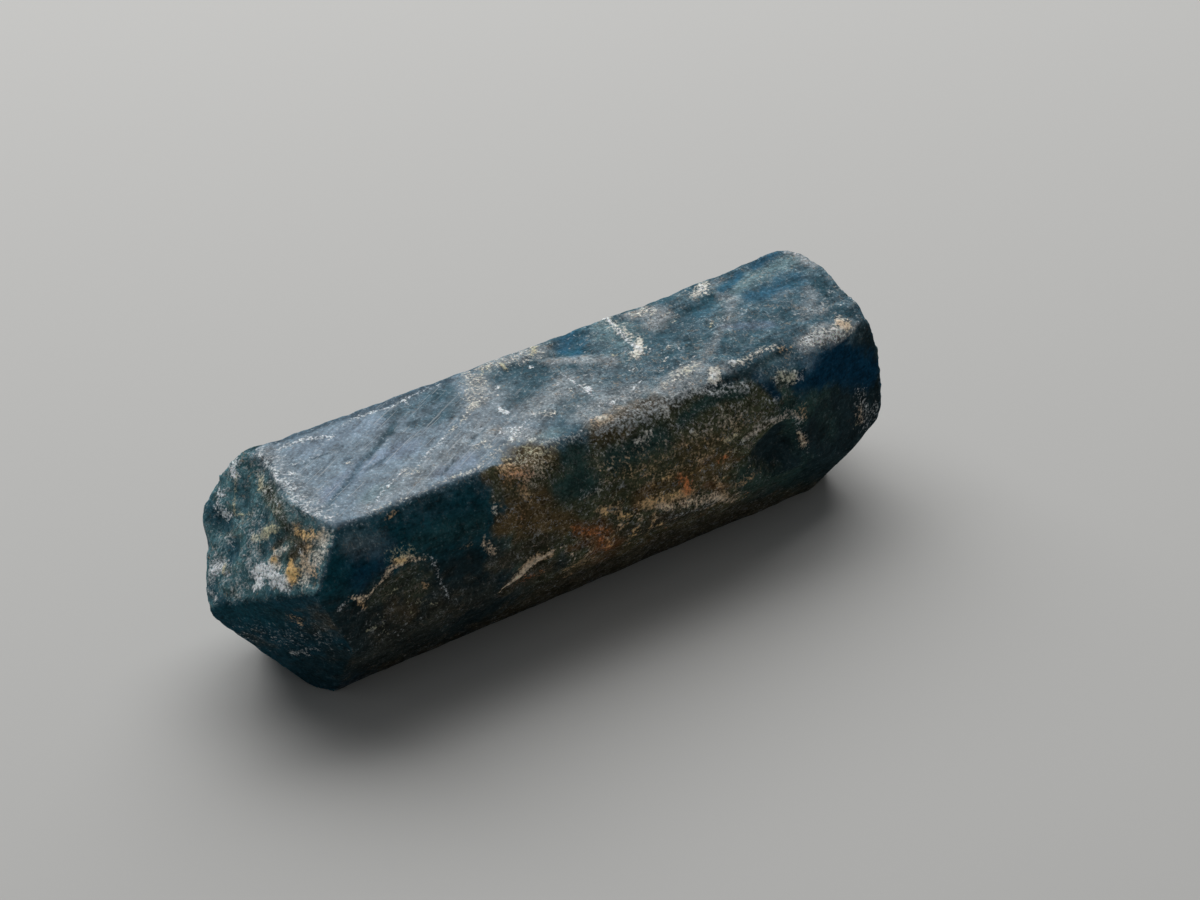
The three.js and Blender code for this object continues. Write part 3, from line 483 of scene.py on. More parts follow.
MARKS["top"] = [
    # The near half: violet and grey clouds along the slanting grooves.
    ("lilac", 0.9, 0.55, (-10.6, -1.4, 0.3), (-8.2, -0.2, 0.3), (-6.3, -0.2, 0.4)),
    ("lilac", 0.9, 0.2, (-9.4, 1.8, 0.5), (-6.5, 1.8, 0.5)),
    ("ash", 0.9, 0.6, (-10.8, 2.4, 0.35), (-11, 0.6, 0.4), (-10.9, -1.4, 0.4)),
    ("groove", 0.7, 0.9, (-10.2, 2.85, 0.14), (-7.5, 2.85, 0.26), (-5.5, 2.82, 0.32), (-3, 2.85, 0.26)),
    ("dusk", 0.8, 0.8, (-5.8, 1.9, 0.35), (-4.2, 1.9, 0.55), (-3.2, 2.1, 0.4)),
    ("dusk", 0.8, 0.8, (-5.4, 0.9, 0.35), (-4, 0.9, 0.5), (-3.3, 1.3, 0.4)),
    ("pool", 0.9, 0.6, (-3.7, 2, 0.4), (-3.1, 2.4, 0.25)),
    ("pool", 0.9, 0.4, (-4.6, 0.7, 0.25), (-4, 0.9, 0.25)),
    ("ash", 0.9, 0.55, (-9.6, -2.6, 0.3), (-7, -2, 0.6), (-5, -1.4, 0.6), (-3.4, -0.6, 0.5)),
    ("lilac", 0.9, 0.5, (-6.2, -2.3, 0.3), (-4.9, -2.1, 0.3)),
    ("milk", 0.9, 0.5, (-9.2, -2.1, 0.25), (-8.2, -1.9, 0.25)),
    ("dusk", 0.7, 0.5, (-8.1, -0.55, 0.1), (-7.3, -0.35, 0.1)),
    ("dusk", 0.7, 0.5, (-6.4, -2.5, 0.06), (-5.4, -1.8, 0.07)),
    ("dusk", 0.7, 0.5, (-4.4, -1.25, 0.06), (-3.3, -0.75, 0.06)),
    ("dusk", 0.7, 0.7, (-10.3, 1.03, 0.04), (-8.3, 1.15, 0.04)),
    ("dusk", 0.8, 0.65, (-10.9, -1.9, 0.13), (-9.5, -1.05, 0.14), (-8.2, -0.1, 0.16), (-7, 0.65, 0.12),
     (-6.2, 1.15, 0.18)),
    ("groove", 0.4, 1, (-10.6, -1.7, 0.06), (-9.5, -1.05, 0.08), (-8.2, -0.1, 0.07), (-7, 0.6, 0.09),
     (-6.4, 1, 0.12)),
    ("groove", 0.6, 0.7, (-8.3, -0.6, 0.05), (-7.6, -0.4, 0.07), (-6.9, -0.2, 0.04)),
    ("groove", 0.6, 0.6, (-10.2, 1.05, 0.03), (-8.3, 1.15, 0.03)),
    ("groove", 0.6, 0.7, (-6.3, -2.4, 0.04), (-5.5, -1.85, 0.05)),
    ("groove", 0.6, 0.7, (-4.3, -1.2, 0.05), (-3.4, -0.8, 0.04)),
    ("groove", 0.7, 0.6, (-9.3, 2.1, 0.04), (-7.4, 1.9, 0.04)),
    ("groove", 0.7, 0.6, (-9.9, 0.2, 0.04), (-8.9, 0.75, 0.04)),
    ("groove", 0.7, 0.6, (-5.5, 1.1, 0.04), (-4.9, 0.7, 0.04)),
    ("pool", 0.8, 0.6, (-6.35, 1.05, 0.15), (-6, 1.35, 0.2)),
    ("groove", 0.5, 1, (-8.65, 0.42, 0.1), (-8.42, 0.4, 0.08)),
    ("groove", 0.5, 0.8, (-9.75, 0.05, 0.08)),
    ("cream", 0.7, 0.5, (-8.7, 0.2, 0.1), (-8.55, 0.05, 0.08)),
    # The pale rim above the pyramid face: crust, with a painted highlight.
    ("chalk", 0.9, 0.35, (-10.8, 2.5, 0.2), (-11, 0.5, 0.25), (-11, -1.4, 0.3), (-10.6, -2.4, 0.2)),
    ("pearl", 0.9, 0.12, (-10.5, 2.3, 0.45), (-10.7, 0.5, 0.4), (-10.5, -1.6, 0.5)),
    ("pearl", 0.5, 0.7, (-10.7, 0.85, 0.1), (-10.6, 0.7, 0.08)),
    ("pearl", 0.6, 0.6, (-10.45, 2.35, 0.07), (-9.4, 2.4, 0.12), (-8.9, 2.3, 0.08), (-8.3, 1.95, 0.1)),
    ("pearl", 0.6, 0.5, (-8, 2.2, 0.04), (-7.2, 2.45, 0.08), (-6.4, 2.55, 0.1), (-5.4, 2.4, 0.06),
     (-4.8, 2.5, 0.09), (-3.2, 2.65, 0.06)),
    ("pearl", 0.6, 0.45, (-4.95, 2, 0.06), (-4.9, 2.75, 0.05)),
    ("pearl", 0.6, 0.5, (-10.3, 1.2, 0.07), (-9.3, 1.2, 0.06)),
    ("cream", 0.8, 0.45, (-7.25, -1.5, 0.14), (-6.8, -1.6, 0.18)),
    ("cream", 0.8, 0.45, (-4.25, -1.6, 0.18), (-3.85, -1.45, 0.2), (-3.9, -1.9, 0.14)),
    ("pearl", 0.7, 0.4, (-9.5, -2.7, 0.08), (-8.3, -1.95, 0.08), (-7.2, -1.35, 0.06)),
    ("pearl", 0.7, 0.6, (-6.4, -1.2, 0.06), (-5.6, -0.85, 0.08), (-4.9, -0.45, 0.08)),
    ("cream", 0.8, 0.5, (-4.8, -0.4, 0.05), (-4.2, -0.05, 0.07), (-3.4, 0.35, 0.12), (-2.9, 0.75, 0.14)),
    ("cream", 0.9, 0.45, (-9.5, -2.9, 0.1), (-8, -2.85, 0.08), (-5, -2.75, 0.1), (-4.2, -2.4, 0.1),
     (-3.5, -2.1, 0.1), (-2.9, -2, 0.1)),
    # The middle: a cream wedge, then a dark pool with pale streaks round it.
    ("ash", 0.9, 0.45, (-2.6, 0.4, 0.9), (0.4, -0.4, 1.2), (2.4, -1.2, 1)),
    ("dusk", 0.9, 0.6, (-2, -0.1, 0.2), (-1.1, 0.5, 0.5), (0.2, 0.9, 0.5)),
    ("pool", 0.9, 0.62, (-1.4, 0.1, 0.2), (-0.5, 0.7, 0.4), (0.3, 1, 0.34)),
    ("ash", 0.9, 0.6, (-1.6, -1, 0.45), (0.2, -0.4, 0.4), (1, 0.4, 0.3)),
    ("dusk", 0.9, 0.6, (0, -1.4, 0.4), (0.6, -1.1, 0.3)),
    ("ash", 0.8, 0.8, (-2.8, 0.8, 0.3), (-2.2, 1.4, 0.45), (-1.9, 2.2, 0.45)),
    ("ash", 0.8, 0.8, (-1.2, 2.7, 0.3), (0, 2.6, 0.35), (1.2, 2.5, 0.4)),
    ("ash", 0.8, 0.8, (-3.4, -1.2, 0.35), (-2.6, -1.6, 0.45), (-2, -2.2, 0.35)),
    ("milk", 0.9, 0.6, (-1.9, -2.4, 0.25), (-1.2, -2.4, 0.25)),
    ("umber", 0.8, 0.8, (-3.7, -2.8, 0.2), (-3.1, -2.55, 0.3), (-2.5, -2.7, 0.25)),
    ("moss", 0.8, 0.5, (-3, -2.8, 0.25), (-2.5, -2.85, 0.25)),
    ("ash", 0.8, 0.6, (0, -2.1, 0.45), (1.5, -1.9, 0.5), (2.8, -1.7, 0.4)),
    ("umber", 0.9, 0.6, (0.3, -2.9, 0.3), (1.6, -2.75, 0.35), (3, -2.7, 0.35)),
    ("cream", 0.9, 0.45, (-2.9, 0.7, 0.25), (-2.3, 1.5, 0.45), (-2, 2.2, 0.4), (-2, 2.7, 0.3)),
    ("straw", 0.8, 0.3, (-1.5, 2.4, 0.16), (-1.1, 2.6, 0.16)),
    ("cream", 0.9, 0.4, (-1.2, 2.7, 0.25), (-0.2, 2.5, 0.35), (0.9, 2.4, 0.35), (1.3, 2.9, 0.25)),
    ("straw", 0.6, 0.6, (0.8, 2.3, 0.1), (1.1, 2.7, 0.12)),
    ("straw", 0.6, 0.6, (-0.6, 2.1, 0.08), (-0.65, 2.4, 0.08)),
    # A white bruise, with a painted glint.
    ("pearl", 0.5, 1, (-2.25, 0.1, 0.06), (-2.2, -0.3, 0.13), (-2.15, -0.5, 0.08)),
    ("pearl", 0.9, 0.55, (-3.1, -1.4, 0.2), (-2.5, -1.7, 0.3), (-2.9, -1.95, 0.2)),
    ("pearl", 0.7, 0.55, (-2.4, -2.3, 0.08), (-1.8, -2.75, 0.09), (-1, -2.9, 0.07)),
    ("pearl", 0.7, 0.4, (-2.4, -1.6, 0.06), (-1.8, -1.3, 0.06), (-1.2, -1.1, 0.05)),
    ("cream", 0.8, 0.5, (-1.1, -1.15, 0.18), (-0.7, -1.4, 0.16)),
    # A white spot, with a painted glint.
    ("pearl", 0.4, 1.3, (1.12, -0.7, 0.17), (1.18, -0.88, 0.14)),
    ("pearl", 0.6, 0.55, (0.95, 0.8, 0.05), (1, 0.1, 0.04), (1.1, -0.6, 0.05), (1, -1.5, 0.04)),
    ("chalk", 0.9, 0.4, (0.3, -2.3, 0.4), (1.4, -2.1, 0.4), (2.6, -1.9, 0.35)),
    ("tan", 0.8, 0.4, (0.4, -2.8, 0.25), (1.4, -2.7, 0.2)),
    ("pearl", 0.7, 0.6, (1.55, -2.05, 0.08), (1.75, -2, 0.08)),
    # The far half: blue windows between cream bands.
    ("ash", 0.8, 0.8, (1.1, 1.7, 0.25), (1.7, 1.2, 0.25), (2.4, 0.7, 0.3), (3, 0.3, 0.3)),
    ("azure", 0.6, 1.1, (1.95, 2, 0.25), (2.4, 2.2, 0.5), (2.9, 2.6, 0.48), (3.4, 2.9, 0.35)),
    ("azure", 0.6, 1, (2.3, 1.6, 0.3), (2.1, 1.4, 0.2)),
    ("pool", 0.8, 0.6, (2, 1.6, 0.15), (3.3, 2.7, 0.25)),
    ("milk", 0.9, 0.4, (3.6, 1.9, 0.3), (3.9, 1.2, 0.25)),
    ("dusk", 0.9, 0.6, (2.2, -0.8, 0.5), (3.6, -0.8, 0.5)),
    ("pool", 0.7, 0.7, (1.5, 0.9, 0.16), (1.7, 0.8, 0.16)),
    ("ash", 0.9, 0.95, (5.4, 2.5, 0.3), (5.9, 2.3, 0.45), (6.4, 1.8, 0.4), (5.8, 1.5, 0.35)),
    ("pool", 0.7, 0.7, (5.2, 2.9, 0.16), (6.5, 2.85, 0.2), (7.4, 2.7, 0.3)),
    ("pool", 0.5, 1, (6.9, 1, 0.2), (7.9, 1.2, 0.35), (8.6, 1.5, 0.32), (8.8, 1.75, 0.15)),
    ("azure", 0.9, 0.25, (7.6, 1, 0.25), (8.4, 1.3, 0.25)),
    ("azure", 0.5, 1, (9.4, 1.8, 0.18), (10.1, 2.1, 0.26), (10.8, 2.45, 0.18)),
    ("pool", 0.9, 0.4, (9.5, 1.85, 0.2), (10.1, 2.1, 0.22)),
    ("azure", 0.6, 1, (11.5, 2.5, 0.22), (12.2, 2.8, 0.33), (12.9, 2.9, 0.3)),
    ("milk", 0.8, 0.8, (9.7, 1.4, 0.16), (11, 1.9, 0.3), (12.3, 1.9, 0.35), (13.1, 2.1, 0.35)),
    ("ash", 0.8, 0.9, (13.5, 2.6, 0.3), (13.6, 1.9, 0.35), (13.6, 1.2, 0.25)),
    ("ash", 0.9, 0.5, (9.2, 1.6, 0.16), (9.4, 1.1, 0.25), (8.9, 0.5, 0.2), (8.2, -0.1, 0.2),
     (7.2, -0.8, 0.16), (6.2, -1.5, 0.2)),
    ("azure", 0.8, 1, (10.2, 0.8, 0.4), (11.2, 0.5, 0.45), (12.2, 0.7, 0.5)),
    ("dusk", 0.9, 0.8, (9.4, -0.5, 0.7), (12.8, -0.6, 0.8)),
    ("pool", 0.9, 0.5, (12, 0.8, 0.3), (12.2, 0.5, 0.25)),
    ("pool", 0.8, 0.99, (12.95, 0.2, 0.25), (12.9, -0.4, 0.28), (12.6, -0.9, 0.2)),
    ("pool", 0.8, 0.8, (10.4, -0.6, 0.22), (10.5, -1.4, 0.22)),
    ("pool", 0.8, 0.7, (9.5, -0.6, 0.2), (9.6, -1.4, 0.3)),
    ("lilac", 0.9, 0.4, (9.5, -1.2, 0.25), (8, -0.3, 0.2)),
    ("ash", 0.9, 0.5, (12.3, 0, 0.16), (12.1, -0.6, 0.2), (11.4, -1.2, 0.3), (11.9, -1.6, 0.25)),
    ("pool", 0.8, 0.75, (4.8, -0.7, 0.2), (5.6, -0.7, 0.3), (6.3, -0.3, 0.25), (7, -0.5, 0.16)),
    ("dusk", 0.9, 0.7, (5.2, 0.2, 0.6), (7.6, 0.4, 0.6)),
    ("pool", 0.9, 0.45, (5.2, 0.3, 0.3), (6.4, 0.5, 0.3)),
    ("pool", 0.8, 0.3, (2.2, -0.6, 0.16), (3, -0.9, 0.2), (3.6, -0.6, 0.16)),
    ("pool", 0.7, 0.4, (6.8, -1.9, 0.18), (7.4, -1.6, 0.26), (8, -1.5, 0.2)),
    ("pool", 0.8, 0.8, (8.2, -2, 0.16), (8.8, -2.1, 0.16)),
    ("pool", 0.8, 0.8, (6.3, -2.5, 0.2), (6.2, -2.15, 0.16)),
    ("ash", 0.8, 0.8, (3.5, -2.4, 0.3), (4.6, -2, 0.4), (5.6, -1.8, 0.3)),
    ("pool", 0.7, 0.7, (11.2, -2, 0.2), (12.4, -1.9, 0.25), (12.9, -2.4, 0.25)),
    ("ash", 0.7, 0.8, (10.3, -2.9, 0.35), (11.2, -2.6, 0.4), (12, -2.8, 0.4)),
    ("milk", 0.9, 0.7, (4.1, 2.6, 0.5), (4.6, 1.6, 0.55), (4.4, 0.8, 0.4)),
    ("cream", 0.9, 0.5, (4.65, 3, 0.2), (4.45, 2.3, 0.32), (4.5, 1.5, 0.28), (4.75, 1, 0.26)),
    ("cream", 0.7, 1, (4.75, 0.9, 0.12), (4.4, 0.45, 0.13), (4.15, 0.2, 0.24), (3.95, 0.05, 0.17)),
    ("pearl", 0.6, 0.7, (4.45, 2.9, 0.08), (4.3, 0.2, 0.08)),
    ("cream", 0.7, 0.5, (3.4, -0.1, 0.06), (3.8, 0.1, 0.07)),
    ("straw", 0.7, 0.6, (3.2, 0.65, 0.07), (3.5, 0.45, 0.08)),
    ("cream", 0.9, 0.55, (5.5, 2.4, 0.22), (6, 2.4, 0.3)),
    ("cream", 0.7, 0.6, (6.6, 1.2, 0.07), (7.05, 1.45, 0.07)),
    ("cream", 0.9, 0.75, (8.2, 2.1, 0.18), (8.7, 2.3, 0.34), (9, 2.6, 0.26)),
    ("pearl", 0.8, 0.5, (8.7, 2.35, 0.14), (8.9, 2.5, 0.12)),
    ("cream", 0.7, 0.6, (10.9, 2.85, 0.08), (11.3, 3, 0.08)),
    ("chalk", 0.8, 0.5, (13.4, 2.5, 0.25), (13.5, 1.8, 0.25)),
    ("chalk", 0.9, 0.22, (9.3, 1.5, 0.16), (9.4, 1, 0.2), (8.4, 0.1, 0.14), (7, -0.9, 0.14)),
    ("straw", 0.6, 0.6, (7.5, 0, 0.08), (7.7, 0.2, 0.07)),
    ("pearl", 0.6, 0.5, (4.1, -1.1, 0.04), (4.6, -1.35, 0.04), (5.3, -1.2, 0.03)),
    ("pearl", 0.6, 0.5, (5.2, -0.95, 0.03), (4.7, -0.7, 0.03)),
    ("pearl", 0.6, 0.5, (5.7, -0.35, 0.05), (5.75, -0.7, 0.04)),
    ("cream", 0.9, 0.5, (3.6, -2.3, 0.2), (4.3, -2, 0.25), (5, -1.9, 0.3), (5.6, -1.7, 0.2)),
    ("straw", 0.8, 0.25, (4.9, -1.9, 0.16), (5.5, -1.9, 0.12)),
    ("cream", 0.6, 1.2, (5.6, -2.8, 0.14), (5.9, -2.65, 0.24), (6.1, -2.4, 0.12)),
    ("cream", 0.9, 0.4, (6.8, -2.4, 0.12), (7.5, -2.5, 0.12), (8.3, -2.3, 0.16), (8.9, -2.4, 0.1)),
    ("pearl", 0.6, 0.7, (6.8, -2.35, 0.09), (6.95, -2.4, 0.07)),
    ("tan", 0.8, 0.5, (9.1, -2.6, 0.16), (9.5, -2.7, 0.14)),
    ("cream", 0.9, 0.6, (10.3, -3, 0.2), (10.9, -2.6, 0.25), (11.5, -2.9, 0.25), (12.1, -2.5, 0.25)),
    ("cream", 0.8, 0.9, (12, -2.8, 0.16), (12.2, -2.4, 0.22)),
    ("straw", 0.7, 0.6, (12.1, -2.4, 0.1), (12, -2.8, 0.1)),
    ("pearl", 0.8, 0.5, (10.8, -3, 0.2), (11.8, -3.1, 0.2)),
    ("chalk", 0.9, 0.25, (10.9, -1.2, 0.25), (12, -1.5, 0.25), (13.2, -0.3, 0.12)),
]
# The worn edge between the far half of the top and the shoulder.
MARKS["front rim"] = [
    ("ash", 0.8, 0.6, (0.2, 0.2, 0.35), (3, 0.2, 0.4), (6.5, 0.4, 0.3)),
    ("umber", 0.9, 0.65, (0, -0.1, 0.3), (1.6, 0.1, 0.35), (3.4, 0, 0.3)),
    ("ink", 0.6, 0.8, (5.2, -0.2, 0.14), (7.2, -0.05, 0.2), (9.2, 0.05, 0.2)),
    ("dusk", 0.8, 0.6, (7.6, -0.5, 0.3), (9.4, -0.2, 0.3)),
    ("ash", 0.7, 0.9, (10, 0.1, 0.3), (11.2, 0.1, 0.4), (12.4, -0.1, 0.35)),
    ("chalk", 0.9, 0.45, (0.4, -0.1, 0.25), (2.2, -0.2, 0.35), (4.2, 0, 0.3), (5.4, -0.1, 0.2)),
    ("tan", 0.8, 0.6, (0.3, 0.1, 0.18), (0.8, 0.2, 0.18)),
    ("cream", 0.7, 0.8, (0.5, 0.25, 0.16), (0.8, 0.2, 0.1)),
    ("cream", 0.6, 1.1, (5.55, 0.1, 0.14), (5.9, 0.24, 0.28), (6.1, 0.45, 0.15)),
    ("pearl", 0.6, 0.8, (5.75, 0.2, 0.12), (6, 0.32, 0.1)),
    ("cream", 0.9, 0.35, (6.8, 0.45, 0.12), (7.5, 0.4, 0.12), (8.3, 0.5, 0.15), (8.9, 0.45, 0.1)),
    ("pearl", 0.6, 0.8, (6.75, 0.5, 0.1), (6.95, 0.45, 0.08)),
    ("cream", 0.9, 0.6, (10.2, 0.1, 0.2), (10.9, 0.1, 0.3), (11.8, 0.1, 0.3), (12.4, -0.2, 0.2)),
    ("bone", 0.7, 1, (11.95, 0.4, 0.16), (12.2, 0.2, 0.22)),
    ("pearl", 0.9, 0.5, (10.3, 0.2, 0.25), (11.5, -0.1, 0.25)),
    ("chalk", 0.8, 0.7, (12.6, -0.4, 0.14), (12.7, -0.9, 0.1)),
]
# The rim of the top above the pyramid face: pale crust and frost, with a painted highlight along its lip.
MARKS["rim"] = [
    ("silk", 0.9, 0.8, (-2.6, -0.05, 0.22), (0, -0.05, 0.28), (2.6, 0.1, 0.22)),
    ("chalk", 0.9, 0.3, (-2.6, 0, 0.16), (-1, -0.1, 0.2), (0.4, -0.1, 0.24), (1.6, -0.1, 0.24),
     (2.6, 0.1, 0.16)),
    ("pearl", 0.9, 0.42, (-2.9, 0, 0.08), (-1.5, -0.1, 0.1), (0.3, -0.1, 0.15), (1.4, -0.1, 0.17),
     (2.3, 0.1, 0.12)),
]
# The notch in the top's front edge, painted over both the facets it lies on.
MARKS["notch"] = [
    ("umber", 0.7, 0.9, (-0.9, -0.3, 0.4), (0, 0, 0.6), (0.8, -0.2, 0.4)),
    ("moss", 0.7, 0.8, (-0.9, -0.7, 0.3), (0.2, -0.5, 0.3), (0.9, -0.6, 0.35)),
    ("ash", 0.9, 0.3, (-0.6, 0.8, 0.2), (0.3, 1, 0.25), (1.1, 0.4, 0.2)),
    ("straw", 0.9, 0.3, (-0.8, 0.3, 0.3), (0.1, 0.5, 0.4), (1, 0.1, 0.3)),
    ("bone", 0.9, 0.3, (-0.6, -0.4, 0.3), (0.4, -0.3, 0.35)),
    ("rust", 0.8, 0.3, (-0.7, -0.2, 0.2), (-0.2, -0.4, 0.2)),
]

# Marks at random: (facet, finishes, how many, lowest (u, v), highest (u, v), largest radius, strength,
# seed).
STREWN = [
    ("front", ["tan", "umber", "bone", "russet", "ochre", "loam"], 90,
     (-1.6, 2.6), (6.6, 5.4), 0.22, 0.7, 71),
    ("front", ["tan", "moss", "straw", "umber"], 40, (-1, 5), (7, 7), 0.22, 0.5, 72),
    ("front", ["loam", "umber", "straw", "chalk"], 30, (-11.5, 2.6), (-7.6, 5.6), 0.18, 0.5, 73),
    ("lower front", ["loam", "umber", "tan", "russet"], 40, (-2, 2.2), (7, 3.7), 0.25, 0.6, 74),
    ("lower front", ["tan", "rust", "bone"], 60, (-2, 2.7), (7, 3.8), 0.14, 0.7, 83),
    ("shoulder", ["chalk", "cream", "pearl", "straw"], 110, (-1, 0.1), (7.6, 2), 0.09, 0.6, 82),
    ("top", ["pool", "ash", "dusk", "milk", "azure"], 60, (-2.5, -2.6), (13.5, 2.8), 0.24, 0.45, 75),
    ("top", ["groove", "pool", "groove"], 80, (-3, -2.7), (8, 2.6), 0.13, 0.8, 81),
    ("top", ["pearl", "cream", "pearl", "chalk"], 170, (-3, -2.9), (7, 2.9), 0.11, 0.85, 76),
    ("top", ["pearl", "cream", "straw"], 40, (6, -2.9), (12.5, 2.4), 0.09, 0.5, 79),
    ("top", ["pearl", "chalk"], 60, (-10.8, -2.8), (-2, 2.8), 0.05, 0.6, 77),
    ("pyramid", ["pool", "chalk", "teal", "straw", "moss"], 60, (-3.6, -4.8), (3, -0.4), 0.2, 0.48, 78),
    ("pyramid", ["cream", "tan", "pearl", "straw"], 36, (0.9, -2.6), (3.4, -0.5), 0.12, 0.45, 80),
    ("lower pyramid", ["cobalt", "loam", "chalk", "blue"], 26, (-4.5, -2.5), (1.2, 2.2), 0.5, 0.5, 79),
    ("back shoulder", ["pool", "cobalt", "milk", "loam"], 30, (-13, -0.5), (12, 2), 0.5, 0.6, 11),
    ("back shoulder", ["chalk", "cream", "tan", "pearl"], 60, (-13, 0.2), (12, 2.2), 0.22, 0.7, 12),
    ("back", ["pool", "loam", "dusk", "moss", "cobalt", "umber"], 50, (-13, 2.8), (12, 6.8), 0.6, 0.6, 23),
    ("back", ["chalk", "tan", "cream", "chalk", "rust"], 90, (-13, 2.8), (12, 6.6), 0.2, 0.6, 24),
    ("lower back", ["cobalt", "loam", "ink", "umber"], 26, (-13, 0.3), (12, 3.6), 0.8, 0.7, 37),
    ("lower back", ["chalk", "tan", "rust"], 40, (-13, 0.3), (12, 3.6), 0.2, 0.6, 38),
    ("underside", ["chalk", "cream", "tan", "rust"], 60, (-12, -2), (14, 2), 0.3, 0.7, 41),
    ("back pyramid", ["pearl", "chalk", "cream", "tan"], 30, (-2, -4), (2, 3), 0.25, 0.7, 53),
    ("end", ["pool", "ink", "teal", "umber"], 30, (-3, 0.5), (3, 7.8), 0.5, 0.7, 61),
    ("end", ["chalk", "cream", "tan", "pearl"], 40, (-3, 0.5), (3, 7.8), 0.16, 0.7, 62),
]

# Finishes of the facets that the light leaves alone, each one over the last in drifts.
COATS = {
    "back shoulder": ["pool", "dusk", "cobalt", "spruce"],
    "back": ["cobalt", "pool", "spruce", "ink", "loam"],
    "lower back": ["cobalt", "ink", "loam", "spruce"],
    "underside": ["loam", "cobalt", "ink", "umber"],
    "back pyramid": ["teal", "cobalt", "pool", "dusk"],
    "end": ["ink", "pool", "navy", "spruce"],
}


# ---- Fields over the crystal's points ----


def smooth(low, high, value):
    """0 below low, 1 above high, and an even curve between."""
    t = np.clip((value - low) / (high - low), 0, 1)
    return t * t * (3 - 2 * t)


def fractal(points, scale, octaves, shift):
    """Fractal noise at each point, from about -1 to 1, with `scale` lumps to a millimetre."""
    place = Vector((shift, shift * 0.7, shift * 1.3))
    return np.array([noise.fractal(Vector(p) * scale + place, 1.0, 2.0, octaves) for p in points])


def ridges(points, scale, octaves, shift):
    """Sharp crests between rounded hollows, from about 0 to 1."""
    place = Vector((shift, shift * 0.7, shift * 1.3))
    return np.array(
        [noise.ridged_multi_fractal(Vector(p) * scale + place, 1.0, 2.1, octaves, 1.0, 2.0) for p in points]
    ) / 2.5


def stray(points, scale, reach, shift):
    """The points, each moved up to `reach` by noise, so that what is placed on them has a ragged edge."""
    place = Vector((shift, -shift, shift * 0.5))
    return points + reach * np.array([noise.noise_vector(Vector(p) * scale + place) for p in points])


# Noise over the surface: (kind, share of its scale along the crystal, lumps to a millimetre, octaves,
# shift of the pattern).
FIELDS = {
    "lumps": (fractal, 1.0, 0.8, 3, 3.0),
    "grit": (fractal, 1.0, 2.6, 3, 11.0),
    "crests": (ridges, 0.6, 0.75, 4, 5.0),
    "bites": (fractal, 1.0, 1.3, 2, 29.0),
    "ribs": (ridges, 0.22, 0.9, 4, 15.0),
    "shells": (ridges, 1.0, 0.55, 3, 25.0),
}


def field(name, points):
    """One of the noise fields, at each point."""
    kind, along, *recipe = FIELDS[name]
    return kind(points * (along, 1.0, 1.0), *recipe)


def off_centre(points, centre, radii):
    """Distance of each point from the middle of an egg shape, in the shape's own radii."""
    return np.linalg.norm((points - centre) / np.array(radii), axis=1)


def reach_of(flat, spots):
    """Distance of each point from a mark, in the mark's own radii: 1 at its rim."""
    spots = np.array(spots, float)
    if len(spots) == 1:
        spots = np.vstack([spots, spots])
    nearest = np.full(len(flat), np.inf)
    for start, end in zip(spots, spots[1:]):
        along = end[:2] - start[:2]
        length = max(along @ along, 1e-9)
        share = np.clip((flat[:, :2] - start[:2]) @ along / length, 0, 1)
        off = flat - np.column_stack([start[:2] + share[:, None] * along, np.zeros(len(flat))])
        radius = start[2] + share * (end[2] - start[2])
        nearest = np.minimum(nearest, np.linalg.norm(off, axis=1) / radius)
    return nearest


STREWN_TURNS = (-0.6, 0.9)  # least and most turn of a strewn mark, in radians
STREWN_LENGTH = 2.2  # half its length, in its own radii
CRUST_SIZE = 0.6  # of a strewn crust, against a strewn wash


def strewn_marks(finishes, count, low, high, largest, strength, seed):
    """Marks at random over a part of a facet, crusts last."""
    chance = np.random.default_rng(seed)
    marks = []
    for index in range(count):
        finish = finishes[index % len(finishes)]
        u, v = chance.uniform(low, high)
        turn = chance.uniform(*STREWN_TURNS)
        size = largest * chance.uniform(0.3, 1.0) ** 1.5
        if finish in CRUSTS:
            size *= CRUST_SIZE
        du = STREWN_LENGTH * size * math.cos(turn)
        dv = STREWN_LENGTH * size * math.sin(turn)
        spots = (u - du, v - dv, 0.7 * size), (u, v, size), (u + du, v + 0.5 * dv, 0.5 * size)
        marks.append((finish, 0.8, strength * chance.uniform(0.5, 1.0), *spots))
    return sorted(marks, key=lambda mark: mark[0] in CRUSTS)


class Skin:
    """The crystal's fine mesh as arrays: points, normals and who neighbours whom."""

    def __init__(self, mesh):
        self.mesh = mesh
        self.points = np.empty((len(mesh.vertices), 3), np.float32)
        mesh.vertices.foreach_get("co", self.points.ravel())
        self.points = self.points.astype(float)
        pairs = np.empty(len(mesh.edges) * 2, np.int32)
        mesh.edges.foreach_get("vertices", pairs)
        self.pairs = pairs.reshape(-1, 2)
        self.count = np.bincount(pairs, minlength=len(self.points))[:, None]

    def blur(self, values, times):
        """Average each point's value with its neighbours', several times."""
        values = values.copy()
        a, b = self.pairs.T
        count = len(values)
        for _ in range(times):
            total = [np.bincount(a, c[b], count) + np.bincount(b, c[a], count) for c in values.T]
            values = 0.5 * values + 0.5 * np.stack(total, axis=1) / self.count
        return values

    def write(self):
        """Put the points back in the mesh."""
        self.mesh.vertices.foreach_set("co", self.points.astype(np.float32).ravel())
        self.mesh.update()

    def normals(self):
        """Each point's direction outwards."""
        self.write()
        found = np.empty(len(self.points) * 3, np.float32)
        self.mesh.vertex_normals.foreach_get("vector", found)
        return found.reshape(-1, 3).astype(float)

    def paint(self, name, values):
        """Keep a value or a colour for each point, for the material to read."""
        if values.ndim == 1:
            layer = self.mesh.attributes.new(name, "FLOAT", "POINT")
            layer.data.foreach_set("value", values.astype(np.float32))
        else:
            layer = self.mesh.attributes.new(name, "FLOAT_COLOR", "POINT")
            colours = np.column_stack([values, np.ones(len(values))])
            layer.data.foreach_set("color", colours.astype(np.float32).ravel())


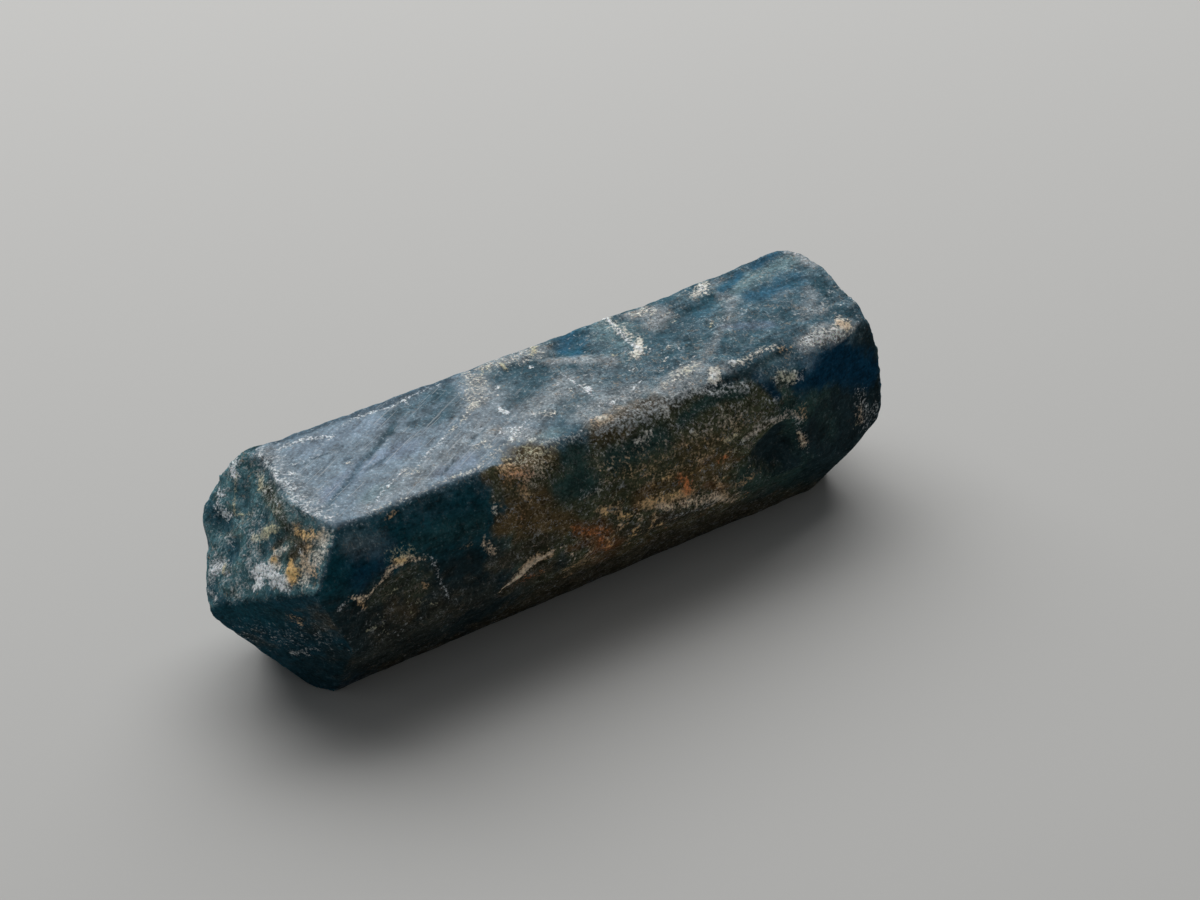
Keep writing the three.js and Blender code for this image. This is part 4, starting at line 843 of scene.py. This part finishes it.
class Canvas:
    """The finishes on the crystal's points: washes beneath, and grains of crust on top."""

    def __init__(self, count, colours):
        self.colours = colours
        self.under = np.zeros((count, 3))
        self.over = np.tile(np.array(colours.chalk), (count, 1))
        self.cover = np.zeros(count)
        self.traits = np.zeros((count, 4))  # flecks, pits, gloss and lift

    def lay(self, finish, amount):
        """Lay a wash or a crust over the points, by how much of it each of them takes."""
        amount = np.clip(amount, 0, 1)
        colour = np.array(getattr(self.colours, finish))
        if finish in WASHES:
            share = amount[:, None]
            self.under += share * (colour - self.under)
            self.traits += share * (np.array(WASHES[finish][1:5]) - self.traits)
            self.cover *= 1 - 0.5 * amount
        else:
            share = (amount / np.maximum(amount + self.cover * (1 - amount), 1e-6))[:, None]
            self.over += share * (colour - self.over)
            self.cover = amount + self.cover * (1 - amount)
            self.traits[:, 3] += amount * CRUSTS[finish][1]


# ---- The crystal's mesh ----

ROUNDING = 60  # times the rubbed places are averaged
EDGE_WIDTH = 14  # times the surface is averaged, to tell where its edges are
NEAR_HALF = -6.0  # the top is at its height where x is below this
RESTING_DEPTH = 0.25  # height above the floor below which points keep their place
# How much each kind of unevenness stands out, in millimetres.
LUMP = 0.05
GRIT = 0.02
CREST = 0.11
SHELL = 0.16
RIB = 0.07
CHIP = 0.16
BROKEN_GRIT = 0.03
PYRAMID_ROUGH = 0.05
CRUST_ROUGH = 0.05
# How outlines wander: (bends to a millimetre, reach, shift of the pattern).
MARK_WANDER = (0.9, 0.10, 2.0)
MARK_RAGGED = (3.1, 0.06, 7.0)
SWELL_WANDER = (1.1, 0.18, 9.0)
# What breaks the marks up: (lumps to a millimetre, octaves, shift of the pattern).
COARSE_BREAK = (2.4, 4, 21.0)
FINE_BREAK = (4.4, 2, 33.0)
DRIFT_ALONG = 0.35  # coats drift in patches this much finer across the crystal than along it
DRIFT_SHIFT = 40.0
EDGE_HEIGHTS = (0.015, 0.10)  # how far a faint and a full edge stand above their surroundings


def facets():
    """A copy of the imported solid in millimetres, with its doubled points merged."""
    solid = bmesh.new()
    solid.from_mesh(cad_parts[NODE].data)
    bmesh.ops.remove_doubles(solid, verts=solid.verts, dist=1e-7)
    bmesh.ops.scale(solid, vec=(1 / MM, 1 / MM, 1 / MM), verts=solid.verts)
    return solid


def fine_mesh(solid, grain):
    """Cover a solid with an even mesh of small faces."""
    coarse = bpy.data.meshes.new("coarse")
    solid.to_mesh(coarse)
    solid.free()
    carrier = bpy.data.objects.new("carrier", coarse)
    bpy.context.scene.collection.objects.link(carrier)
    remesh = carrier.modifiers.new("Grain", "REMESH")
    remesh.mode = "VOXEL"
    remesh.voxel_size = grain
    evaluated = carrier.evaluated_get(bpy.context.evaluated_depsgraph_get())
    fine = bpy.data.meshes.new_from_object(evaluated)
    bpy.data.objects.remove(carrier)
    bpy.data.meshes.remove(coarse)
    return fine


def swell(points):
    """How far each point stands out from its facet because of the swellings and sunk places."""
    height = np.zeros(len(points))
    for facet, spot, radii, amount, rim in SWELLS:
        away = off_centre(points, FACETS[facet].place(*spot), radii)
        height += amount * (1 - smooth(rim, 1.0 + 0.1 * (1 - rim), away))
    return height


def paint_facets(canvas, names, points, normals):
    """Paint the marks of some facets on the crystal, each mark with an uneven edge."""
    ragged = stray(stray(points, *MARK_WANDER), *MARK_RAGGED)
    break_up = fractal(points, *COARSE_BREAK) + 0.6 * fractal(points, *FINE_BREAK)
    for name in names:
        facet = FACETS[name]
        faced = facet.faced(normals)
        for order, finish in enumerate(COATS.get(name, [])):
            drift = fractal(points * (DRIFT_ALONG, 1.0, 1.0), 0.8, 5, DRIFT_SHIFT + 7 * order)
            canvas.lay(finish, faced * (smooth(-0.05, 0.45, drift) if order else 1.0))
        own = MARKS.get(name, [])
        strewn = [strewn_marks(*recipe) for facet_name, *recipe in STREWN if facet_name == name]
        scattered = [mark for layer in strewn for mark in layer]
        ground = [mark for mark in own if mark[0] in WASHES and mark[2] == BASE]
        marks = ground + [mark for mark in scattered if mark[0] in WASHES]
        marks += [mark for mark in own if mark[0] in WASHES and mark[2] != BASE]
        marks += [mark for mark in scattered if mark[0] in CRUSTS]
        marks += [mark for mark in own if mark[0] in CRUSTS]
        seen = np.flatnonzero(faced > 0)
        flat = facet.flatten(ragged[seen])
        for finish, softness, strength, *spots in marks:
            away = reach_of(flat, spots) + 0.6 * softness * break_up[seen]
            amount = np.zeros(len(points))
            amount[seen] = faced[seen] * strength * (1 - smooth(1 - softness, 1 + softness, away))
            canvas.lay(finish, amount)


def weather(mesh, shape, colours):
    """Wear, etch and chip the fine mesh, and paint its finishes."""
    noise.seed_set(NOISE_SEED)  # without it, noise vectors start from the clock
    skin = Skin(mesh)
    flat = skin.points.copy()

    # Edges stay crisp, but for the places that are rubbed round.
    rubbed = np.max([1 - smooth(full, end, off_centre(flat, centre, radii))
                     for centre, radii, full, end in RUBBED], axis=0)[:, None]
    skin.points = skin.blur(skin.points, shape.wear)
    skin.points += rubbed * (skin.blur(skin.points, ROUNDING) - skin.points)
    normals = skin.normals()
    wide = skin.blur(skin.points, EDGE_WIDTH)
    edge = smooth(*EDGE_HEIGHTS, np.einsum("ij,ij->i", skin.points - wide, normals))

    points = skin.points.copy()
    lumps, grit, crests, bites, ribs, shells = (field(name, points) for name in FIELDS)

    top = FACETS["top"].faced(normals)
    shoulder = FACETS["shoulder"].faced(normals)
    pyramid = FACETS["pyramid"].faced(normals)
    broken = smooth(0.45, 0.8, normals[:, 0])
    behind = smooth(0.4, 0.8, normals[:, 1])
    x = points[:, 0]
    # The far half begins across a slanting band, and the split at the front's broken corner.
    far = smooth(-3.0, 2.0, x + 0.8 * points[:, 1])
    split = smooth(9.5, 10.5, x) * smooth(0.6, 0.9, -normals[:, 1])

    # The far half's hollows are painted dark and its crests pale: partly clear deep crystal and rubbed
    # crust, partly painted shade in the hollows and painted light on the crests.
    names = list(FACETS)
    ground = names.index("top")
    canvas = Canvas(len(points), colours)
    canvas.lay("dusk", np.ones(len(points)))
    paint_facets(canvas, names[:ground], points, normals)
    swing = (crests - crests.mean()) / crests.std()
    canvas.lay("pool", 0.6 * top * far * smooth(0.1, 1.6, -swing))
    canvas.lay("milk", 0.35 * top * far * smooth(0.2, 1.6, swing))
    canvas.lay("pearl", 0.2 * top * far * smooth(1.0, 2.2, swing + 0.6 * grit))
    paint_facets(canvas, names[ground:], points, normals)

    # The near half of the top, the shoulder beside it and the split are the smoothest.
    quiet = np.clip(shoulder * smooth(-4.5, -5.5, x) + top * (1 - far) + split, 0, 1)
    height = LUMP * lumps * (1 - 0.7 * quiet)
    height += GRIT * grit * (1 - 0.85 * quiet)
    height += CREST * top * far * (crests - 0.5)
    height += broken * (SHELL * (shells - 0.5) + BROKEN_GRIT * grit)
    height += RIB * behind * (ribs - 0.5)
    height += pyramid * (PYRAMID_ROUGH * lumps + PYRAMID_ROUGH * grit)
    height += canvas.traits[:, 3] + CRUST_ROUGH * canvas.cover * grit
    height -= CHIP * edge * smooth(0.05, 0.45, bites)
    height += swell(stray(points, *SWELL_WANDER))
    skin.points += normals * (shape.relief * height)[:, None]

    # Nothing leaves the solid's box or rises above the near half's top, and the resting face stays flat.
    lowest, highest = (np.array(corner) / MM for corner in CAD_BOX)
    skin.points = np.clip(skin.points, lowest, highest)
    z = skin.points[:, 2]
    z = np.where(x < NEAR_HALF, np.minimum(z, TOP_HEIGHT), z)
    rest = smooth(RESTING_DEPTH, 0.0, flat[:, 2])
    skin.points[:, 2] = (1 - rest) * z + rest * np.minimum(flat[:, 2], z)

    # Rubbed edges show pale as wear, with a painted highlight that is strongest where they face up, but not
    # along the near half's back edge.
    upward_highlight = smooth(0.2, 0.9, normals[:, 2]) * (1 - smooth(2.3, 2.7, points[:, 1]) * smooth(-2.6, -3.6, x))
    canvas.lay("pearl", edge * (0.10 + 0.45 * upward_highlight) * smooth(-0.4, 0.4, bites + 0.5 * grit))
    canvas.under *= (1 + 0.22 * lumps + 0.12 * grit)[:, None]
    skin.paint("under", np.clip(canvas.under, 0, 1))
    skin.paint("over", canvas.over)
    skin.paint("cover", canvas.cover)
    for column, name in enumerate(("flecks", "pits", "gloss")):
        skin.paint(name, canvas.traits[:, column])
    # The near top, where the silk and its painted sheen lie.
    skin.paint("silk", top * (1 - far))
    skin.points *= MM
    skin.write()


# ---- Shader maths ----


class Value:
    """A number or colour on its way through a material. Sums on it add Math nodes."""

    def __init__(self, paint, socket):
        self.paint = paint
        self.socket = socket

    def maths(self, operation, *others):
        return self.paint.node("ShaderNodeMath", {"operation": operation}, dict(enumerate(others)))

    def __add__(self, other):
        return self.maths("ADD", self, other)

    def __sub__(self, other):
        return self.maths("SUBTRACT", self, other)

    def __rsub__(self, other):
        return self.maths("SUBTRACT", other, self)

    def __mul__(self, other):
        return self.maths("MULTIPLY", self, other)

    __radd__ = __add__
    __rmul__ = __mul__

    def swing(self, weight):
        """A noise as a change up and down, by up to half of `weight`."""
        return weight * (self - 0.5)

    def clear(self):
        """Held between 0 and 1."""
        return self.paint.node(
            "ShaderNodeMath", {"operation": "ADD", "use_clamp": True}, {0: self, 1: 0.0})

    def step(self, low, high):
        """0 below low, 1 above high, smooth between."""
        return self.paint.node(
            "ShaderNodeMapRange", {"interpolation_type": "SMOOTHSTEP"},
            {"Value": self, "From Min": low, "From Max": high})


class Paint:
    """Builds one material's nodes."""

    def __init__(self, name):
        self.material = bpy.data.materials.new(name)
        self.material.use_nodes = True
        self.tree = self.material.node_tree
        self.tree.nodes.clear()

    def node(self, kind, settings, inputs, output=0):
        """Add a node: its settings first, then each input as a value or a link."""
        made = self.tree.nodes.new(kind)
        for name, value in settings.items():
            setattr(made, name, value)
        for name, value in inputs.items():
            if isinstance(value, Value):
                self.tree.links.new(value.socket, made.inputs[name])
            else:
                made.inputs[name].default_value = value
        return Value(self, made.outputs[output]) if made.outputs else None

    def attribute(self, name, output="Fac"):
        return self.node("ShaderNodeAttribute", {"attribute_name": name}, {}, output)

    def mix(self, factor, first, second):
        """Blend two colours."""
        colours = {6: first, 7: second}
        for key, colour in colours.items():
            if not isinstance(colour, Value):
                colours[key] = (*colour, 1.0)
        return self.node("ShaderNodeMix", {"data_type": "RGBA"}, {0: factor, **colours}, 2)

    def shade(self, colour, factor):
        """A colour made lighter or darker."""
        if not isinstance(colour, Value):
            colour = tuple(colour)
        return self.node("ShaderNodeVectorMath", {"operation": "SCALE"}, {0: colour, "Scale": factor})

    def bent(self, place, scale, reach):
        """Coordinates pushed about by up to `reach`, so that straight patterns wander."""
        push = self.node(
            "ShaderNodeTexNoise", {}, {"Vector": place, "Scale": scale, "Detail": 2.0}, "Color")
        push = self.node("ShaderNodeVectorMath", {"operation": "SUBTRACT"}, {0: push, 1: (0.5, 0.5, 0.5)})
        push = self.node("ShaderNodeVectorMath", {"operation": "SCALE"}, {0: push, "Scale": 2 * reach})
        return self.node("ShaderNodeVectorMath", {"operation": "ADD"}, {0: place, 1: push})

    def grains(self, place, scale, detail, rough, bend=None):
        """Noise with `scale` lumps to a millimetre. A bend is its bends to a millimetre and its reach."""
        if bend:
            place = self.bent(place, *bend)
        return self.node(
            "ShaderNodeTexNoise", {},
            {"Vector": place, "Scale": scale, "Detail": detail, "Roughness": rough}, "Fac")

    def streaks(self, place, turn, length, width, detail, rough, bend=None):
        """Noise drawn out into streaks of a length and width, along a turned X axis."""
        if bend:
            place = self.bent(place, *bend)
        place = self.node(
            "ShaderNodeMapping", {"vector_type": "TEXTURE"},
            {"Vector": place, "Rotation": turn, "Scale": (length, width, width)})
        return self.grains(place, 1.0, detail, rough)


# Noise of the finish: (lumps to a millimetre, detail, roughness), and a bend where it has one.
GRAINS = {
    "mottle": (1.7, 5.0, 0.65),
    "grain": (4.5, 4.0, 0.7),
    "speck": (9.0, 2.5, 0.7),
    "dust": (14.0, 2.0, 0.6),
    "tint": (2.3, 2.0, 0.5),
    "second": (5.5, 4.0, 0.7, (2.0, 0.3)),
    "crack": (1.5, 4.0, 0.6, (1.1, 0.4)),
    "cross": (2.6, 3.0, 0.55, (1.7, 0.3)),
}
# Streaks of the finish: (turn, length, width, detail, roughness), and a bend where they have one.
STREAKS = {
    "scratch": ((0.0, 0.0, 0.58), 0.9, 0.10, 4.0, 0.7, (1.5, 0.15)),
    "band": ((0.0, 0.0, 0.58), 7.0, 0.55, 3.0, 0.5),
    "line": ((0.0, 0.0, 0.50), 2.2, 0.06, 1.0, 0.5),
    "thread": ((0.0, 1.40, 0.0), 0.8, 0.11, 3.0, 0.65, (1.2, 0.25)),
    "ribbed": ((0.0, 0.0, 0.0), 1.3, 0.12, 3.0, 0.6, (1.0, 0.12)),
}


STONE_IOR = 1.64
GLAZE_IOR = 1.45
RED_TO_BLUE = (0.5, 1.0, 1.3)  # how far each colour of light goes inside, in millimetres


def crystal_paint(colours):
    """The crystal's finish: washes of blue and earth, flecks and pits, and grains of crust."""
    p = Paint("apatite")
    place = p.node("ShaderNodeTexCoord", {}, {}, "Object")
    place = p.node("ShaderNodeVectorMath", {"operation": "SCALE"}, {0: place, "Scale": 1 / MM})

    under, over = (p.attribute(name, "Color") for name in ("under", "over"))
    cover, flecks, pits, gloss, silk = (
        p.attribute(name) for name in ("cover", "flecks", "pits", "gloss", "silk"))
    mottle, grain, speck, dust, tint, second, crack, cross = (
        p.grains(place, *recipe) for recipe in GRAINS.values())
    scratch, band, line, thread, ribbed = (p.streaks(place, *recipe) for recipe in STREAKS.values())


    # The body's shade wavers at every scale, and along the grooves of the silvery half.
    plain = 1.0 - 0.20 * silk
    tone = (1.0 + mottle.swing(2.0) + plain * (grain.swing(1.5) + speck.swing(1.1))
            + (1.0 - silk) * ribbed.swing(1.3) + silk * (scratch.swing(1.3) + band.swing(1.2)))
    body = p.shade(under, tone.step(-0.6, 2.6) * 2.0)
    hole = (second + 0.13 * pits + mottle.swing(0.3)).step(0.56, 0.74)
    body = p.shade(body, 1.0 - 0.65 * (hole * pits * 2.0).clear())

    pale = p.mix(tint.step(0.40, 0.60), colours.bone, colours.pearl)
    fleck = dust * 0.5 + speck * 0.3 + grain * 0.2 + 0.06 * flecks + mottle.swing(0.25)
    fleck = fleck.step(0.56, 0.66)
    body = p.mix((fleck * flecks * 1.5).clear(), body, p.mix(0.25, p.shade(body, 2.0), pale))
    body = p.mix(0.45 * line.step(0.64, 0.72) * silk, body, p.shade(colours.pearl, 0.6))

    # Hair-thin healed cracks run where either of two noises passes its middle, on etched ground.
    crack = crack - 0.5
    cross = cross - 0.5
    vein = (1.0 - crack * crack * 2600.0).clear() + (1.0 - cross * cross * 1800.0).clear()
    vein = vein * (second + mottle.swing(0.3)).step(0.44, 0.60) * (1.0 - 0.6 * silk)
    body = p.mix((vein * flecks * 1.5).clear() * 0.7, body, p.shade(pale, 0.75))

    # Crust lies in grains, and none strays onto clean dark ground.
    fine = grain * 0.5 + speck * 0.5
    packed = (cover + fine.swing(2.7) + thread.swing(0.8) * (1.0 - silk)).step(0.22, 0.95)
    packed = packed * (cover * 6.0 + flecks * 7.0).clear()
    crust = p.shade(over, 1.0 + speck.swing(2.2) + second.swing(1.8))
    body = p.mix(packed, body, crust)

    rough = (0.52 - 0.10 * gloss + 0.25 * packed + mottle.swing(0.2)).clear()
    height = (grain * 0.020 + speck * 0.012 + scratch * silk * 0.014 + packed * 0.024
              - hole * pits * 0.02) * MM
    bump = p.node("ShaderNodeBump", {}, {"Height": height, "Strength": 1.0, "Distance": 1.0})
    shell = p.node("ShaderNodeBsdfPrincipled", {}, {
        "Base Color": body,
        "Roughness": rough,
        "IOR": STONE_IOR,
        "Specular IOR Level": 0.0,
        "Subsurface Weight": 0.10,
        "Subsurface Radius": RED_TO_BLUE,
        "Subsurface Scale": MM,
        "Coat Weight": gloss * (1.0 - packed) * 0.30,
        "Coat Roughness": 0.30,
        "Coat IOR": GLAZE_IOR,
        "Normal": bump,
    })
    p.node("ShaderNodeOutputMaterial", {}, {"Surface": shell})
    return p.material


# ---- Operators ----


class CRYSTAL_OT_body(bpy.types.Operator):
    """Grow the crystal's weathered surface over a copy of its solid"""

    bl_idname = "crystal.body"
    bl_label = "Crystal"

    def execute(self, context):
        shape = context.scene.crystal_shape
        mesh = fine_mesh(facets(), shape.grain)
        if not mesh.polygons:
            raise RuntimeError("the solid gave no fine mesh")
        weather(mesh, shape, context.scene.crystal_colours)
        mesh.name = "crystal"
        mesh.polygons.foreach_set("use_smooth", [True] * len(mesh.polygons))
        mesh.materials.append(crystal_paint(context.scene.crystal_colours))
        crystal = bpy.data.objects.new("crystal", mesh)
        context.scene.collection.objects.link(crystal)
        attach(crystal, "root")
        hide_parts(NODE)
        return {"FINISHED"}


class CRYSTAL_OT_stage(bpy.types.Operator):
    """Lay the floor and set the lights and the camera"""

    bl_idname = "crystal.stage"
    bl_label = "Stage"

    def execute(self, context):
        stage = context.scene.crystal_stage
        lay_floor(stage)
        hang_lights(stage)
        place_camera(stage)
        return {"FINISHED"}


# Metres, but for the camera's target in millimetres.
FLOOR_SIZE = 0.8
WINDOW_PLACE = (0.05, 0.14, 0.19)
WINDOW_WIDTH = 0.36
WINDOW_HEIGHT = 0.22
LIT_POINT = (0, 0, 0.004)
FILL_COLOUR = (0.95, 0.98, 1.0, 1.0)
CAMERA_TARGET = (3.065, 1.12, 3.5)
CLIP_START = 0.001


def lay_floor(stage):
    """A wide plain floor."""
    sheet = bmesh.new()
    bmesh.ops.create_grid(sheet, x_segments=1, y_segments=1, size=FLOOR_SIZE)
    mesh = bpy.data.meshes.new("floor")
    sheet.to_mesh(mesh)
    sheet.free()
    p = Paint("floor")
    matt = p.node("ShaderNodeBsdfPrincipled", {}, {"Base Color": (*stage.floor, 1.0), "Roughness": 0.8})
    p.node("ShaderNodeOutputMaterial", {}, {"Surface": matt})
    mesh.materials.append(p.material)
    floor = bpy.data.objects.new("floor", mesh)
    bpy.context.scene.collection.objects.link(floor)


def aim(thing, target):
    """Turn a light or camera to look at a point."""
    thing.rotation_euler = (Vector(target) - thing.location).to_track_quat("-Z", "Y").to_euler()


def hang_lights(stage):
    """A broad soft window behind and above the crystal, and an even fill."""
    data = bpy.data.lights.new("window", "AREA")
    data.shape = "RECTANGLE"
    data.size = WINDOW_WIDTH
    data.size_y = WINDOW_HEIGHT
    data.energy = stage.window
    window = bpy.data.objects.new("window", data)
    window.location = WINDOW_PLACE
    bpy.context.scene.collection.objects.link(window)
    aim(window, LIT_POINT)
    world = bpy.data.worlds.new("fill")
    bpy.context.scene.world = world
    world.use_nodes = True
    background = world.node_tree.nodes["Background"]
    background.inputs["Color"].default_value = FILL_COLOUR
    background.inputs["Strength"].default_value = stage.fill
    bpy.context.scene.view_settings.view_transform = "Standard"


def place_camera(stage):
    """The camera, looking down along the crystal from its pyramid end."""
    data = bpy.data.cameras.new("camera")
    data.lens = stage.lens
    data.clip_start = CLIP_START
    camera = bpy.data.objects.new("camera", data)
    target = Vector(CAMERA_TARGET) * MM
    level = math.cos(stage.elevation)
    away = Vector((
        math.sin(stage.azimuth) * level,
        -math.cos(stage.azimuth) * level,
        math.sin(stage.elevation),
    ))
    camera.location = target + away * stage.distance
    bpy.context.scene.collection.objects.link(camera)
    aim(camera, target)
    bpy.context.scene.camera = camera


class CRYSTAL_PT_panel(bpy.types.Panel):
    """The steps that build the crystal"""

    bl_label = "Crystal"
    bl_idname = "CRYSTAL_PT_panel"
    bl_space_type = "VIEW_3D"
    bl_region_type = "UI"
    bl_category = "Crystal"

    def draw(self, context):
        for step in STEPS:
            self.layout.operator(step.bl_idname)
        for name, group in GROUPS.items():
            for key in group.__annotations__:
                self.layout.prop(getattr(context.scene, name), key)


STEPS = [CRYSTAL_OT_body, CRYSTAL_OT_stage]
GROUPS = {"crystal_shape": CrystalShape, "crystal_colours": CrystalColours, "crystal_stage": CrystalStage}


def register():
    for name, group in GROUPS.items():
        bpy.utils.register_class(group)
        setattr(bpy.types.Scene, name, bpy.props.PointerProperty(type=group))
    for step in STEPS:
        bpy.utils.register_class(step)
    bpy.utils.register_class(CRYSTAL_PT_panel)


def unregister():
    bpy.utils.unregister_class(CRYSTAL_PT_panel)
    for step in reversed(STEPS):
        bpy.utils.unregister_class(step)
    for name, group in GROUPS.items():
        delattr(bpy.types.Scene, name)
        bpy.utils.unregister_class(group)


def main():
    register()
    bpy.ops.crystal.body()
    bpy.ops.crystal.stage()


if __name__ == "__main__":
    main()
